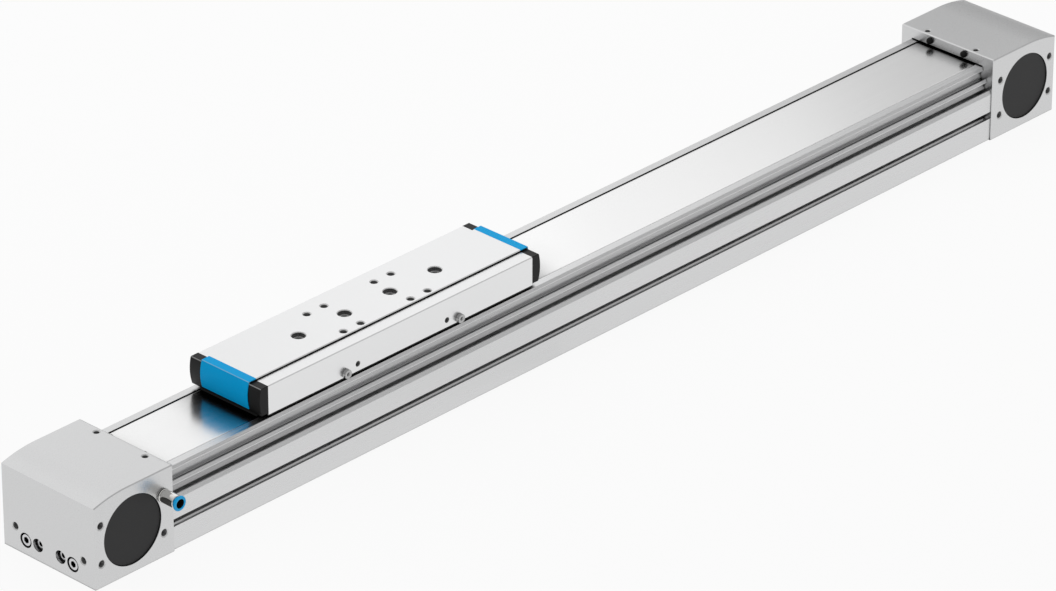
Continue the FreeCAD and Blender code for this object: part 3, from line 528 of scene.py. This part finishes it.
def belt_line(along, reach, middle, wrap, radius):
    """Places and inward directions on the belt's inner face, along the pitch line from the left pulley's top.

    inward = (sin(turn), -cos(turn)), where turn grows from 0 to a whole turn over the two wraps.
    place = (x, middle) - radius * inward, where x runs level along the bottom and back along the top.
    """
    bottom = wrap + 2 * reach
    turn = (np.clip(along, 0, wrap) + np.clip(along - bottom, 0, wrap)) * (TURN / 2 / wrap)
    inward = np.c_[np.sin(turn), 0 * turn, -np.cos(turn)]
    top = np.minimum(along, 0) + np.maximum(along - bottom - wrap, 0)
    x = np.clip(along - wrap, 0, 2 * reach) - reach - top
    return np.c_[x, 0 * x, np.full(len(x), middle)] - radius * inward, inward


class AXIS_OT_belt(bpy.types.Operator):
    """Carry the toothed belt's section round both pulleys, as a loop and two runs"""

    bl_idname = "axis.belt"
    bl_label = "Toothed belt"

    def execute(self, context):
        detail = context.scene.axis_detail
        finish = slot = "belt_polyurethane"
        node = "toothed_belt"
        low, high = span(node)
        pulley_low, pulley_high = span("pulley_right")
        reach = (pulley_low[0] + pulley_high[0]) / 2
        middle = (low[2] + high[2]) / 2
        pitch, root, tip = detail.belt_pitch, detail.tooth_root, detail.tooth_tip
        land = (high[2] - low[2]) / 2 - detail.belt_back
        wrap = round(TURN * land / pitch) * pitch / 2
        loop = 2 * (wrap + reach)
        clamps = [span(clamp) for clamp in both("belt_clamp")]
        first = -reach - clamps[0][1][0] - pitch / 2
        last = loop + reach - clamps[1][0][0] + pitch / 2
        joints = np.array((first, -pitch / 2, loop + pitch / 2, last))
        corners = np.array((-root, -tip, tip, root)) / 2
        rises = detail.tooth_height * np.array((0.0, 1.0, 1.0, 0.0))
        far = np.array((0.0, high[1], 0.0))
        parts = []
        for start, stop in zip(joints[:-1], joints[1:]):
            teeth = np.arange(math.ceil((start + root) / pitch), math.floor((stop - root) / pitch) + 1)
            along = np.concatenate([[start], (pitch * teeth[:, None] + corners).ravel(), [stop]])
            rise = np.concatenate([[0.0], np.tile(rises, len(teeth)), [0.0]])
            place, inward = belt_line(along, reach, middle, wrap, land)
            inner = place + rise[:, None] * inward
            back = place - detail.belt_back * inward
            parts.append(skin(np.stack([inner + far, inner - far, back - far, back + far], 1)))
        add("belt_loop", [parts[1]], finish, [node])
        for (end, sign), part, (clamp_low, clamp_high) in zip(ENDS, parts[::2], clamps):
            run = add("belt_run_" + end, [part], finish, [node], None)
            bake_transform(run)
        return {"FINISHED"}


# Turned and threaded pieces

class AXIS_OT_discs(bpy.types.Operator):
    """Turn the round covers of the housings"""

    bl_idname = "axis.discs"
    bl_label = "Cover discs"

    def execute(self, context):
        bevel = context.scene.axis_detail.disc_bevel
        quarter = np.linspace(0.0, TURN / 4, ARC_POINTS)
        for end, _ in ENDS:
            for side, sign in SIDES:
                node = "cover_disc_" + side + "_" + end
                low, high = span(node)
                radius = (high[2] - low[2]) / 2
                depth = high[1] - low[1]
                middle = (low + high) / 2
                middle[1] -= sign * depth / 2
                rim = zip(depth - bevel + bevel * np.sin(quarter), radius - bevel + bevel * np.cos(quarter))
                profile = [(0.0, radius - bevel), (bevel, radius), *rim, (depth, radius - 2 * bevel),
                           (depth, radius / 2)]
                skins = turned(profile, [middle], (0.0, sign, 0.0), DISC_COLUMNS)
                add(node + "_turned", skins, "cover_moulded", [node])
        return {"FINISHED"}


# A screw's socket: its corners, mouth and depth in shares of the head, and its rows in the profile, which get
# painted shade
HEAD_SOCKET = (0.56, 0.6, 0.55)
GRUB_SOCKET = (0.6, 0.66, 0.9)
SOCKET_FLOOR = 0.2          # the flat at a socket's bottom, in shares of the head's radius
SOCKET_SHADE_ROWS = slice(-3, None)


def hexagon(corner, columns=SCREW_COLUMNS):
    """Radius of a hexagon: its half-width over the cosine of the turn from the middle of the nearest flat."""
    sixth = TURN / 6
    turn = np.arange(columns) * (TURN / columns)
    return corner * math.cos(sixth / 2) / np.cos((turn + sixth / 2) % sixth - sixth / 2)


def socket_rows(shares, reach, radius, height, edge):
    """The end of a screw's profile: a hexagon sunk into its top."""
    corner, mouth, depth = shares
    flats = hexagon(corner * radius)
    floor = reach - depth * height
    return [(reach, mouth * radius), (reach - edge / 2, flats), (floor, flats),
            (floor - edge, SOCKET_FLOOR * radius)]


def socket_screws(places, axis, reach, shank, head, height, edge):
    """Socket screws from their tips: shank, head with a rounded edge, and a socket."""
    seat = reach - height
    profile = [(0.0, shank - edge), (edge, shank), (seat, shank), (seat, head), (reach - edge, head),
               (reach - EASED * edge, head - EASED * edge), (reach, head - edge),
               *socket_rows(HEAD_SOCKET, reach, head, height, edge)]
    return turned(profile, places, axis)


def grub_screws(places, reach, radius, edge):
    """Upright headless screws from their tips: a rounded rod and a socket."""
    profile = [(0.0, radius - edge), (edge, radius), (reach - edge, radius), (reach, radius - edge),
               *socket_rows(GRUB_SOCKET, reach, radius, radius, edge)]
    return turned(profile, places, UP)


class AXIS_OT_screws(bpy.types.Operator):
    """Turn the housings' socket screws and the strip's set screws"""

    bl_idname = "axis.screws"
    bl_label = "Screws"

    def execute(self, context):
        detail = context.scene.axis_detail
        edge = detail.edge
        kinds = (("end_screws_", detail.end_shank, detail.end_head, 0.0),
                 ("deep_screws_", detail.deep_shank, detail.deep_head, detail.deep_lift))
        for end, sign in ENDS:
            for kind, shank, height, lift in kinds:
                node = kind + end
                low, high = span(node)
                recess = (high[2] - low[2]) / 2
                head = recess - detail.head_play
                tip, top = np.sort(np.abs((low[0], high[0])))
                places = [(sign * tip, y, low[2] + recess) for y in (low[1] + recess, high[1] - recess)]
                skins = socket_screws(places, (sign, 0.0, 0.0), top + lift - tip, shank, head, height, edge)
                painted_light_and_shade = painted_rows(skins, SCREW_COLUMNS, SOCKET_SHADE_ROWS)
                add(node + "_turned", skins, "steel_plated", [node], "frame", painted_light_and_shade)
            node = "strip_set_screws_" + end
            low, high = span(node)
            radius = (high[0] - low[0]) / 2
            places = [(low[0] + radius, y, low[2]) for y in (low[1] + radius, high[1] - radius)]
            skins = grub_screws(places, high[2] - low[2], radius, edge)
            add(node + "_turned", skins, "steel_oxide", [node])
        return {"FINISHED"}


THREAD_STEPS = 6                # rows in one turn of a thread
THREAD_HEIGHT = 0.5             # height of a thread over its pitch
THREAD_START = 0.1              # what a thread's start leaves of the countersink
THREAD_HIGHLIGHT_ROWS = slice(3, 5)     # rows of a threaded lining on its countersink, which carry the painted highlight
BORE_START = 1.2                # where a bore's plain wall starts, over the countersink
BORE_RIM = 0.9                  # outer end of the painted highlight ring on a bore's floor, over the bore
BORE_HIGHLIGHT_ROWS = (slice(4, 6), slice(8, 10))   # rows of a bore's lining that carry painted highlights, on its countersink and its floor
CORNERS = ((1, 1), (1, -1), (-1, 1), (-1, -1))
PAIR = ((-1, 0), (1, 0))


def threads(places, axis, hole, countersink, detail, share=1.0):
    """Threaded linings of holes: a sleeve whose inside is a helix and whose outside lies in the metal.

    radius = root - height * (1 - |2 * phase - 1|), where phase is what is left of along / pitch + turn,
    in turns.
    """
    pitch, sleeve = detail.pitch, detail.sleeve
    turn = np.arange(THREAD_COLUMNS) / THREAD_COLUMNS
    steps = np.arange(round(share * detail.thread_length / pitch * THREAD_STEPS))
    along = -countersink - steps * (pitch / THREAD_STEPS)
    phase = (along[:, None] / pitch + turn) % 1.0
    helix = hole - SKIN - THREAD_HEIGHT * pitch * (1 - np.abs(2 * phase - 1))
    back = hole + sleeve
    left = THREAD_START * countersink
    profile = [(along[-1], back), (-countersink - sleeve, back), (-sleeve, back + countersink),
               (-SKIN / 2, hole + countersink - SKIN), (left - countersink - SKIN, hole - 2 * SKIN + left),
               *zip(along, helix)]
    return turned(profile, places, axis, THREAD_COLUMNS, True)


def counterbores(places, bore, hole, detail):
    """Linings of counterbores: countersink, wall and floor to the hole below, backed into the metal."""
    sink, sleeve = detail.countersink, detail.sleeve
    back, wall = bore + sleeve, bore - 2 * SKIN
    rear, floor = -detail.bore_depth - sleeve, SKIN - detail.bore_depth
    profile = [(rear, hole), (rear, back), (-sink - sleeve, back), (-sleeve, back + sink),
               (-SKIN / 2, bore + sink - SKIN), (-sink, bore - SKIN), (-BORE_START * sink, wall),
               (floor, wall), (floor, BORE_RIM * bore), (floor, hole + sink), (floor, hole)]
    return turned(profile, places, UP, FINE_COLUMNS, True)


def hole_places(name, signs, drop=0.0):
    """Places of a mount's holes: half its spacings from its middle by pairs of signs, and a drop lower."""
    mount = MOUNTS[name]
    along = mount["dims"]["spacing_x_mm"] * MM / 2
    across = mount["dims"].get("spacing_y_mm", 0.0) * MM / 2
    return [np.array(mount["pos_m"]) + (x * along, y * across, -drop) for x, y in signs]


def hole_radius(name):
    """Radius of a mount's holes."""
    return MOUNTS[name]["dims"]["hole_r_mm"] * MM


def add_threads(name, skins, body="frame"):
    """One object from threaded linings, with painted shade in the threads and a painted highlight on their
    countersinks.
    """
    add(name, skins, "bore_cut", [], body, painted_rows(skins, THREAD_COLUMNS, THREAD_HIGHLIGHT_ROWS))


class AXIS_OT_housing_threads(bpy.types.Operator):
    """Cut the threads in the housings' sides, ends and tops"""

    bl_idname = "axis.housing_threads"
    bl_label = "Housing threads"

    def execute(self, context):
        detail = context.scene.axis_detail
        sink = detail.countersink
        flange = MOUNTS["motor_flange_right_near"]["dims"]
        foot = MOUNTS["foot_holes_right"]
        foot_half = foot["dims"]["spacing_x_mm"] * MM / 2
        low, high = span("air_fitting")
        taken = (low + high) / 2
        across, up = np.meshgrid((-0.5, 0.5), (-0.5, 0.5))
        for end, sign in ENDS:
            low, high = span("drive_housing_" + end)
            disc_low, disc_high = span("cover_disc_far_" + end)
            middle = (disc_low + disc_high) / 2
            x = middle[0] + across.ravel() * flange["spacing_x_mm"] * MM
            z = middle[2] + up.ravel() * flange["spacing_y_mm"] * MM
            radius = flange["hole_r_mm"] * MM
            skins = []
            for _, out in SIDES:
                free = (np.hypot(x - taken[0], z - taken[2]) > radius) | (out > 0)
                places = np.c_[x, np.full(len(x), out * high[1]), z][free]
                skins += threads(places, (0.0, out, 0.0), radius, sink, detail)
            places = [(sign * foot["pos_m"][0], y, foot["pos_m"][2]) for y in (-foot_half, foot_half)]
            skins += threads(places, (sign, 0.0, 0.0), radius, sink, detail)
            add_threads("housing_threads_" + end, skins)
            low, top = span("strip_set_screws_" + end)
            radius = (top[0] - low[0]) / 2 + detail.set_play
            places = [((low[0] + top[0]) / 2, y, high[2]) for y in (low[1] + radius, top[1] - radius)]
            skins = threads(places, UP, radius, sink, detail, detail.top_share)
            add_threads("set_screw_threads_" + end, skins)
        return {"FINISHED"}


class AXIS_OT_slide_threads(bpy.types.Operator):
    """Cut the threads in the slide's pad, under its centring bores and in its sides"""

    bl_idname = "axis.slide_threads"
    bl_label = "Slide threads"

    def execute(self, context):
        detail = context.scene.axis_detail
        slot, body = "slide_aluminium", "slide"
        narrow = detail.edge / 3
        skins, bores, lugs = [], [], []
        for name in ("slide_threads_inner", "slide_threads_outer"):
            radius = hole_radius(name)
            skins += threads(hole_places(name, CORNERS), UP, radius, detail.countersink, detail)
        for name in ("slide_centring_inner", "slide_centring_outer"):
            skins += threads(hole_places(name, PAIR, detail.bore_depth), UP, radius, narrow, detail)
            bores += counterbores(hole_places(name, PAIR), hole_radius(name), radius, detail)
        add_threads("slide_threads", skins, body)
        add("slide_bores", bores, "bore_cut", [], body, painted_rows(bores, FINE_COLUMNS, *BORE_HIGHLIGHT_ROWS))
        low, high = span("slide_body")
        middle = (low[0] + high[0]) / 2
        for _, out in SIDES:
            places = [(middle + x, out * high[1], detail.lug_height)
                      for x in (-detail.lug_spread, detail.lug_spread)]
            lugs += threads(places, (0.0, out, 0.0), detail.lug_radius, narrow, detail, detail.lug_share)
        add_threads("slide_side_threads", lugs, body)
        return {"FINISHED"}


# Moulded pieces

FACE_POINTS = 16            # points down the front of a cap or clip
BACK_POINTS = 12            # points up the inside of a clip
HIGHLIGHT_POINTS = slice(2, 7)   # points of a cap's or clip's outline on its rounded upper edge, which carry a painted highlight
# A wiper's front from its upper corner to its lip, from the tip's foot in shares of its height
WIPER_FRONT = np.array([(0.0, 1.0), (0.0, 0.7), (-0.3, 0.55), (-0.05, 0.1), (-0.15, 0.0), (-0.7, 0.35)])


class AXIS_OT_shadow_lips(bpy.types.Operator):
    """Mould dark lips along the lower edges of the slide's sides, as painted shade that widens the dark gap
    under the slide
    """

    bl_idname = "axis.lips"
    bl_label = "Slide lips"

    def execute(self, context):
        detail = context.scene.axis_detail
        proud, foot, top = detail.lip_proud, detail.lip_low, detail.lip_top
        low, high = span("slide_body")
        face = high[1]
        inner, outer = face - 2 * proud, face + proud
        section = np.array([(inner, foot), (face, foot), (outer, foot + proud), (outer, top - proud),
                            (face, top), (inner, top)])
        skins = [drawn(section[::int(out)] * (out, 1.0), (low[0], high[0])) for _, out in SIDES]
        add("slide_shadow_lips", skins, "rubber_black", [], "slide")
        return {"FINISHED"}


def cap_outline(front, low, top, inset, rounding):
    """A cap's section from its back upper edge round the front to its back lower edge, less an inset."""
    high = np.linspace(top - inset - rounding, low + inset, FACE_POINTS)
    face = np.c_[front(high) - inset, high]
    corner = (front(top) - inset, top - inset)
    upper = bent((corner[0] - rounding, top - inset), corner, face[0])
    return np.concatenate([[(0.0, top - inset)], upper, face[1:], [(0.0, low + inset)]])


def clip_outline(front, low, top, thickness, rounding):
    """A clip's section: over the cap's top and down its front on the outside, and back on the inside."""
    outer, inner = top + thickness, top + SKIN
    high = np.linspace(outer - rounding, low, FACE_POINTS)
    face = np.c_[front(high) + thickness, high]
    corner = (front(top) + thickness, outer)
    upper = bent((corner[0] - rounding, outer), corner, face[0])
    rise = np.linspace(low, inner, BACK_POINTS)
    back = np.c_[front(rise) + SKIN, rise]
    return np.concatenate([[(0.0, outer)], upper, face[1:], back, [(0.0, inner)]])


def soften(piece, width):
    """Rounds a moulded piece's sharp edges."""
    bevel = piece.modifiers.new("soft_edges", "BEVEL")
    bevel.width = width
    bevel.segments = 2
    bevel.limit_method = "ANGLE"
    bevel.angle_limit = math.radians(40)


class AXIS_OT_caps(bpy.types.Operator):
    """Mould the slide's end caps, their clips and the wipers below them"""

    bl_idname = "axis.caps"
    bl_label = "Caps and clips"

    def execute(self, context):
        detail = context.scene.axis_detail
        rounding, edge, side = detail.cap_round, detail.edge, detail.cap_side
        for end, sign in ENDS:
            low, high = span("end_cap_" + end)
            clip_low, clip_high = span("end_clip_" + end)
            rear = min(sign * low[0], sign * high[0])
            x, z, radius = circle_through((detail.cap_toe, low[2]), (high[0] - low[0], detail.cap_belly),
                                          (detail.cap_ridge, high[2]))

            def front(height):
                """Reach of the cap's bulging front at a height."""
                return x + np.sqrt(radius ** 2 - (height - z) ** 2)

            half, pad = high[1], clip_high[1]
            shape = ((side, edge), (side, 0.0), (side, 0.0), (high[2], 0.0))
            places = np.array((-half, edge - half, -pad, SKIN - pad))
            rows = [cap_outline(front, low[2], top, inset, rounding) for top, inset in shape]
            sections = np.stack(rows + rows[::-1]) + (rear, 0.0)
            painted_light_and_shade = np.zeros(sections.shape[:2])
            painted_light_and_shade[1:-1, HIGHLIGHT_POINTS] = 1.0
            skins = [carried(sections, np.concatenate([places, -places[::-1]]), sign)]
            add("end_cap_moulded_" + end, skins, "cap_moulded", ["end_cap_" + end], "slide",
                painted_light_and_shade.ravel())

            outline = clip_outline(front, clip_low[2], high[2], detail.clip_thickness, rounding) + (rear, 0.0)
            painted_light_and_shade = np.zeros((2, len(outline)))
            painted_light_and_shade[:, HIGHLIGHT_POINTS] = 1.0
            skins = [carried(outline, (-pad, pad), sign)]
            clip = add("end_clip_moulded_" + end, skins, "accent_moulded",
                       ["end_clip_" + end], "slide", painted_light_and_shade.ravel())
            soften(clip, edge / 2)

            low, high = span("strip_wiper_" + end)
            tail, tip = sorted((sign * low[0], sign * high[0]))
            nose = (tip, low[2]) + (high[2] - low[2]) * WIPER_FRONT
            outline = np.concatenate([[(tail, high[2])], nose, [(tail, nose[-1, 1])]])
            skins = [carried(outline, (low[1], high[1]), sign)]
            wiper = add("strip_wiper_moulded_" + end, skins, "rubber_black",
                        ["strip_wiper_" + end], "slide")
            soften(wiper, edge / 2)
        return {"FINISHED"}


NOSE_POINTS = 10
NOSE_TURN = 0.98 * TURN / 4     # a buffer's round nose ends in a small flat


class AXIS_OT_buffers(bpy.types.Operator):
    """Mould the round-nosed buffers in the housings"""

    bl_idname = "axis.buffers"
    bl_label = "Buffers"

    def execute(self, context):
        turn = np.linspace(0.0, NOSE_TURN, NOSE_POINTS)
        for end, sign in ENDS:
            node = "end_buffers_" + end
            low, high = span(node)
            radius = (high[2] - low[2]) / 2
            nose, foot = np.sort(np.abs((low[0], high[0])))
            dome = zip(foot - nose - radius + radius * np.sin(turn), radius * np.cos(turn))
            places = [(sign * foot, y, low[2] + radius) for y in (low[1] + radius, high[1] - radius)]
            skins = turned([(0.0, radius), *dome], places, (-sign, 0.0, 0.0))
            add(node + "_moulded", skins, "rubber_black", [node])
        return {"FINISHED"}


NIPPLE_GROOVE = (0.35, 0.4, 0.5, 0.55)      # corners of a nipple's groove, in shares of its reach
NIPPLE_NECK = 0.4       # radius of the funnel's neck over its mouth
NIPPLE_CHANNEL = 1.5    # depth of the channel below over the funnel's depth


class AXIS_OT_nipples(bpy.types.Operator):
    """Turn the grease nipples in the slide's sides"""

    bl_idname = "axis.nipples"
    bl_label = "Grease nipples"

    def execute(self, context):
        detail = context.scene.axis_detail
        edge, eased, mouth, deep = detail.edge, EASED * detail.edge, detail.funnel, detail.funnel_depth
        low, high = span("grease_nipples")
        face = span("slide_body")[1][1]
        radius = (high[2] - low[2]) / 2
        reach = high[1] - face
        neck = NIPPLE_NECK * mouth
        groove = zip(reach * np.array(NIPPLE_GROOVE), radius - edge / 2 * np.array((0, 1, 1, 0)))
        profile = [(0.0, radius), *groove, (reach - edge, radius), (reach - eased, radius - eased),
                   (reach, radius - edge), (reach, mouth + edge), (reach - eased, mouth),
                   (reach - deep, neck), (reach - NIPPLE_CHANNEL * deep, neck)]
        skins = []
        for _, out in SIDES:
            places = [(x, out * face, low[2] + radius) for x in (low[0] + radius, high[0] - radius)]
            skins += turned(profile, places, (0.0, out, 0.0))
        add("grease_nipples_turned", skins, "nipple_plated", ["grease_nipples"], "slide")
        return {"FINISHED"}


COLLAR_END = 1.6        # end of the groove beside the fitting's collar, in collar widths
GROOVE_DEPTH = 1.5      # depth of that groove, in edges
MOUTH_ROUND = 1.6       # rounding of the fitting's mouth, in edges
BEAD_POINTS = 13        # points round the release ring's rim
RING_BORE_SHADE_ROWS = slice(-2, None)


class AXIS_OT_fitting(bpy.types.Operator):
    """Turn the air fitting and mould its release ring"""

    bl_idname = "axis.fitting"
    bl_label = "Air fitting"

    def execute(self, context):
        detail = context.scene.axis_detail
        edge, collar, bore, air = detail.edge, detail.collar, detail.fitting_bore, detail.fitting_air
        shank, tube, sleeve = detail.shank, detail.tube, detail.ring_sleeve
        eased = EASED * edge
        out = (0.0, -1.0, 0.0)
        low, high = span("air_fitting")
        wall = span("drive_housing_left")[0][1]
        middle = (low + high) / 2
        radius = (high[2] - low[2]) / 2
        reach, foot = wall - low[1], wall - high[1]
        mouth, seat = reach - detail.fitting_mouth, reach - detail.fitting_seat
        groove, stop = radius - GROOVE_DEPTH * edge, COLLAR_END * collar
        profile = [(foot, shank), (0.0, shank), (0.0, radius - edge), (edge, radius), (collar - edge, radius),
                   (collar, radius - edge), (collar, groove), (stop, groove), (stop, radius - edge),
                   (stop + edge, radius), (reach - 2 * edge, radius), (reach - edge, radius - eased),
                   (reach, radius - MOUTH_ROUND * edge), (reach, bore), (mouth, bore), (mouth, tube),
                   (seat, tube), (seat, air), (foot, air)]
        skins = turned(profile, [(middle[0], wall, middle[2])], out, FINE_COLUMNS, True)
        add("air_fitting_turned", skins, "nickel_plated", ["air_fitting"])

        low, high = span("release_ring")
        radius = (high[2] - low[2]) / 2
        reach = high[1] - low[1]
        rear = reach - detail.ring_width
        bead = detail.ring_width / 2
        turn = np.linspace(0.0, TURN / 2, BEAD_POINTS)
        rim = zip(rear + bead - bead * np.cos(turn), radius - bead + bead * np.sin(turn))
        profile = [(0.0, sleeve), (rear, sleeve), *rim, (reach, tube + edge), (reach - eased, tube + eased),
                   (reach - edge, tube), (0.0, tube)]
        skins = turned(profile, [(middle[0], high[1], middle[2])], out, FINE_COLUMNS, True)
        add("release_ring_moulded", skins, "ring_moulded", ["release_ring"], "release_ring",
            painted_rows(skins, FINE_COLUMNS, RING_BORE_SHADE_ROWS))
        return {"FINISHED"}


# Studio

SENSOR = 36.0       # width of the camera's sensor, in millimetres
FAR = 100.0         # how far the camera sees
SKY_RISE = 0.2      # height on the unit sphere at which the room's light is at its full strength
# Softboxes at one distance: what each one faces, its azimuth and rise from there in degrees, side and power
LAMP_DISTANCE = 1.2
LEFT = (-0.3, 0.0, 0.05)
NEAR_SLIDE = (-0.17, 0.0, 0.05)
MIDDLE = (0.0, 0.0, 0.05)
RIGHT = (0.1, 0.0, 0.05)
SOFTBOXES = [
    ("right_back_broad", RIGHT, 60, 45, 1.0, 0.73),
    ("left_behind_broad", LEFT, 100, 45, 1.0, 0.54),
    ("right_behind_broad", RIGHT, 100, 45, 1.0, 0.25),
    ("left_over_broad", LEFT, 50, 70, 1.0, 0.22),
    ("right_broad", RIGHT, 20, 45, 1.0, 0.07),
    ("end", MIDDLE, 10, 35, 0.5, 0.35),
    ("end_back", MIDDLE, 30, 35, 0.5, 0.08),
    ("corner", MIDDLE, 42, 32, 0.5, 0.08),
    ("corner_low", MIDDLE, 50, 20, 0.5, 0.04),
    ("corner_high", MIDDLE, 50, 50, 0.5, 0.03),
    ("back_low", MIDDLE, 70, 20, 0.5, 0.07),
    ("slide_corner", NEAR_SLIDE, 50, 26, 0.5, 0.165),
    ("left_end_high", LEFT, 10, 50, 0.5, 0.05),
    ("left_corner_high", LEFT, 30, 50, 0.5, 0.11),
    ("left_back", LEFT, 70, 35, 0.5, 0.11),
    ("left_back_low", LEFT, 70, 20, 0.5, 0.025),
    ("left_behind_low", LEFT, 90, 20, 0.5, 0.18),
    ("left_behind_high", LEFT, 90, 50, 0.5, 0.16),
]


def floor_material(floor_colour, glow_share):
    """A pale floor that reads as white to the camera and in reflections, and still takes shadows."""
    made = bpy.data.materials.new("floor_pale")
    made.use_nodes = True
    tree = made.node_tree
    tree.nodes.clear()
    rays = new_node(tree, "LightPath").outputs
    seen = rays["Is Camera Ray"]
    for kind in ("Is Glossy Ray", "Is Transmission Ray"):
        seen = new_node(tree, "Math", {0: seen, 1: rays[kind]}, operation="MAXIMUM").outputs[0]
    share = new_node(tree, "Math", {0: seen, 1: glow_share}, operation="MULTIPLY").outputs[0]
    matt = new_node(tree, "BsdfDiffuse", {"Color": (*floor_colour, 1)}).outputs[0]
    glow = new_node(tree, "Emission").outputs[0]
    mix = new_node(tree, "MixShader", {"Fac": share, 1: matt, 2: glow}).outputs[0]
    new_node(tree, "OutputMaterial", {"Surface": mix})
    return made


def heading(azimuth, rise):
    """The direction at an azimuth and a rise over the horizon."""
    flat = math.cos(rise)
    return Vector((flat * math.cos(azimuth), flat * math.sin(azimuth), math.sin(rise)))


def placed(name, data, place=(0.0, 0.0, 0.0), look=None):
    """An object at a place, which looks along a direction if one is given."""
    made = bpy.data.objects.new(name, data)
    made.location = place
    if look:
        made.rotation_euler = look.to_track_quat("-Z", "Y").to_euler()
    bpy.context.scene.collection.objects.link(made)
    return made


def softbox(name, aim, azimuth, rise, size, power):
    """A square lamp at a distance from the point that it faces, unseen by the camera."""
    away = heading(math.radians(azimuth), math.radians(rise))
    data = bpy.data.lights.new(name, "AREA")
    data.shape = "SQUARE"
    data.size = size
    data.energy = power
    placed(name, data, Vector(aim) + away * LAMP_DISTANCE, -away).visible_camera = False


def sky(scene, low, high):
    """The room's light: it grows from the horizon up to a low rise, and is even from there to overhead."""
    world = bpy.data.worlds.new("studio")
    scene.world = world
    world.use_nodes = True
    tree = world.node_tree
    split = new_node(tree, "SeparateXYZ", {"Vector": new_node(tree, "TexCoord").outputs["Generated"]})
    back = tree.nodes["Background"]
    back.inputs["Color"].default_value = (1, 1, 1, 1)
    tree.links.new(spread(tree, split.outputs["Z"], low, high, 0.0, SKY_RISE), back.inputs["Strength"])


class AXIS_OT_stage(bpy.types.Operator):
    """Make the floor, the lamps, the room's light and the camera"""

    bl_idname = "axis.stage"
    bl_label = "Stage"

    def execute(self, context):
        scene = context.scene
        stage = scene.axis_stage
        half, low = stage.floor_size / 2, CAD_BOX[0][2]
        mesh = bpy.data.meshes.new("floor")
        corners = [(-half, -half, low), (half, -half, low), (half, half, low), (-half, half, low)]
        mesh.from_pydata(corners, [], [(0, 1, 2, 3)])
        mesh.materials.append(floor_material(stage.floor, stage.floor_glow))
        floor = placed("floor", mesh)
        for name, aim, azimuth, rise, size, power in SOFTBOXES:
            softbox(name, aim, azimuth, rise, size, power * stage.lamp_level)
        sky(scene, stage.sky_low, stage.sky_high)
        data = bpy.data.cameras.new("photo_camera")
        data.lens = stage.lens
        data.sensor_width = SENSOR
        data.clip_end = FAR
        scene.camera = placed("photo_camera", data, stage.eye, heading(stage.azimuth, -stage.drop))
        scene.view_settings.view_transform = "Standard"
        return {"FINISHED"}


class AXIS_PT_sidebar(bpy.types.Panel):
    """Lists the steps that make the looks"""

    bl_label = "Belt axis"
    bl_idname = "AXIS_PT_sidebar"
    bl_space_type = "VIEW_3D"
    bl_region_type = "UI"
    bl_category = "Belt axis"

    def draw(self, context):
        for step in STEPS:
            self.layout.operator(step.bl_idname)


STEPS = [AXIS_OT_finish, AXIS_OT_strip, AXIS_OT_belt, AXIS_OT_discs, AXIS_OT_screws, AXIS_OT_housing_threads,
         AXIS_OT_slide_threads, AXIS_OT_shadow_lips, AXIS_OT_caps, AXIS_OT_buffers, AXIS_OT_nipples, AXIS_OT_fitting,
         AXIS_OT_stage]
CLASSES = [AxisFinish, AxisDetail, AxisStage, *STEPS, AXIS_PT_sidebar]


def register():
    """Registers the classes and the settings on the scene."""
    for made in CLASSES:
        bpy.utils.register_class(made)
    bpy.types.Scene.axis_finish = bpy.props.PointerProperty(type=AxisFinish)
    bpy.types.Scene.axis_detail = bpy.props.PointerProperty(type=AxisDetail)
    bpy.types.Scene.axis_stage = bpy.props.PointerProperty(type=AxisStage)


def unregister():
    """Takes the settings and the classes away again."""
    del bpy.types.Scene.axis_stage
    del bpy.types.Scene.axis_detail
    del bpy.types.Scene.axis_finish
    for made in reversed(CLASSES):
        bpy.utils.unregister_class(made)


def main():
    """Registers the add-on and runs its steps."""
    register()
    for step in STEPS:
        group, name = step.bl_idname.split(".")
        getattr(getattr(bpy.ops, group), name)()


if __name__ == "__main__":
    main()
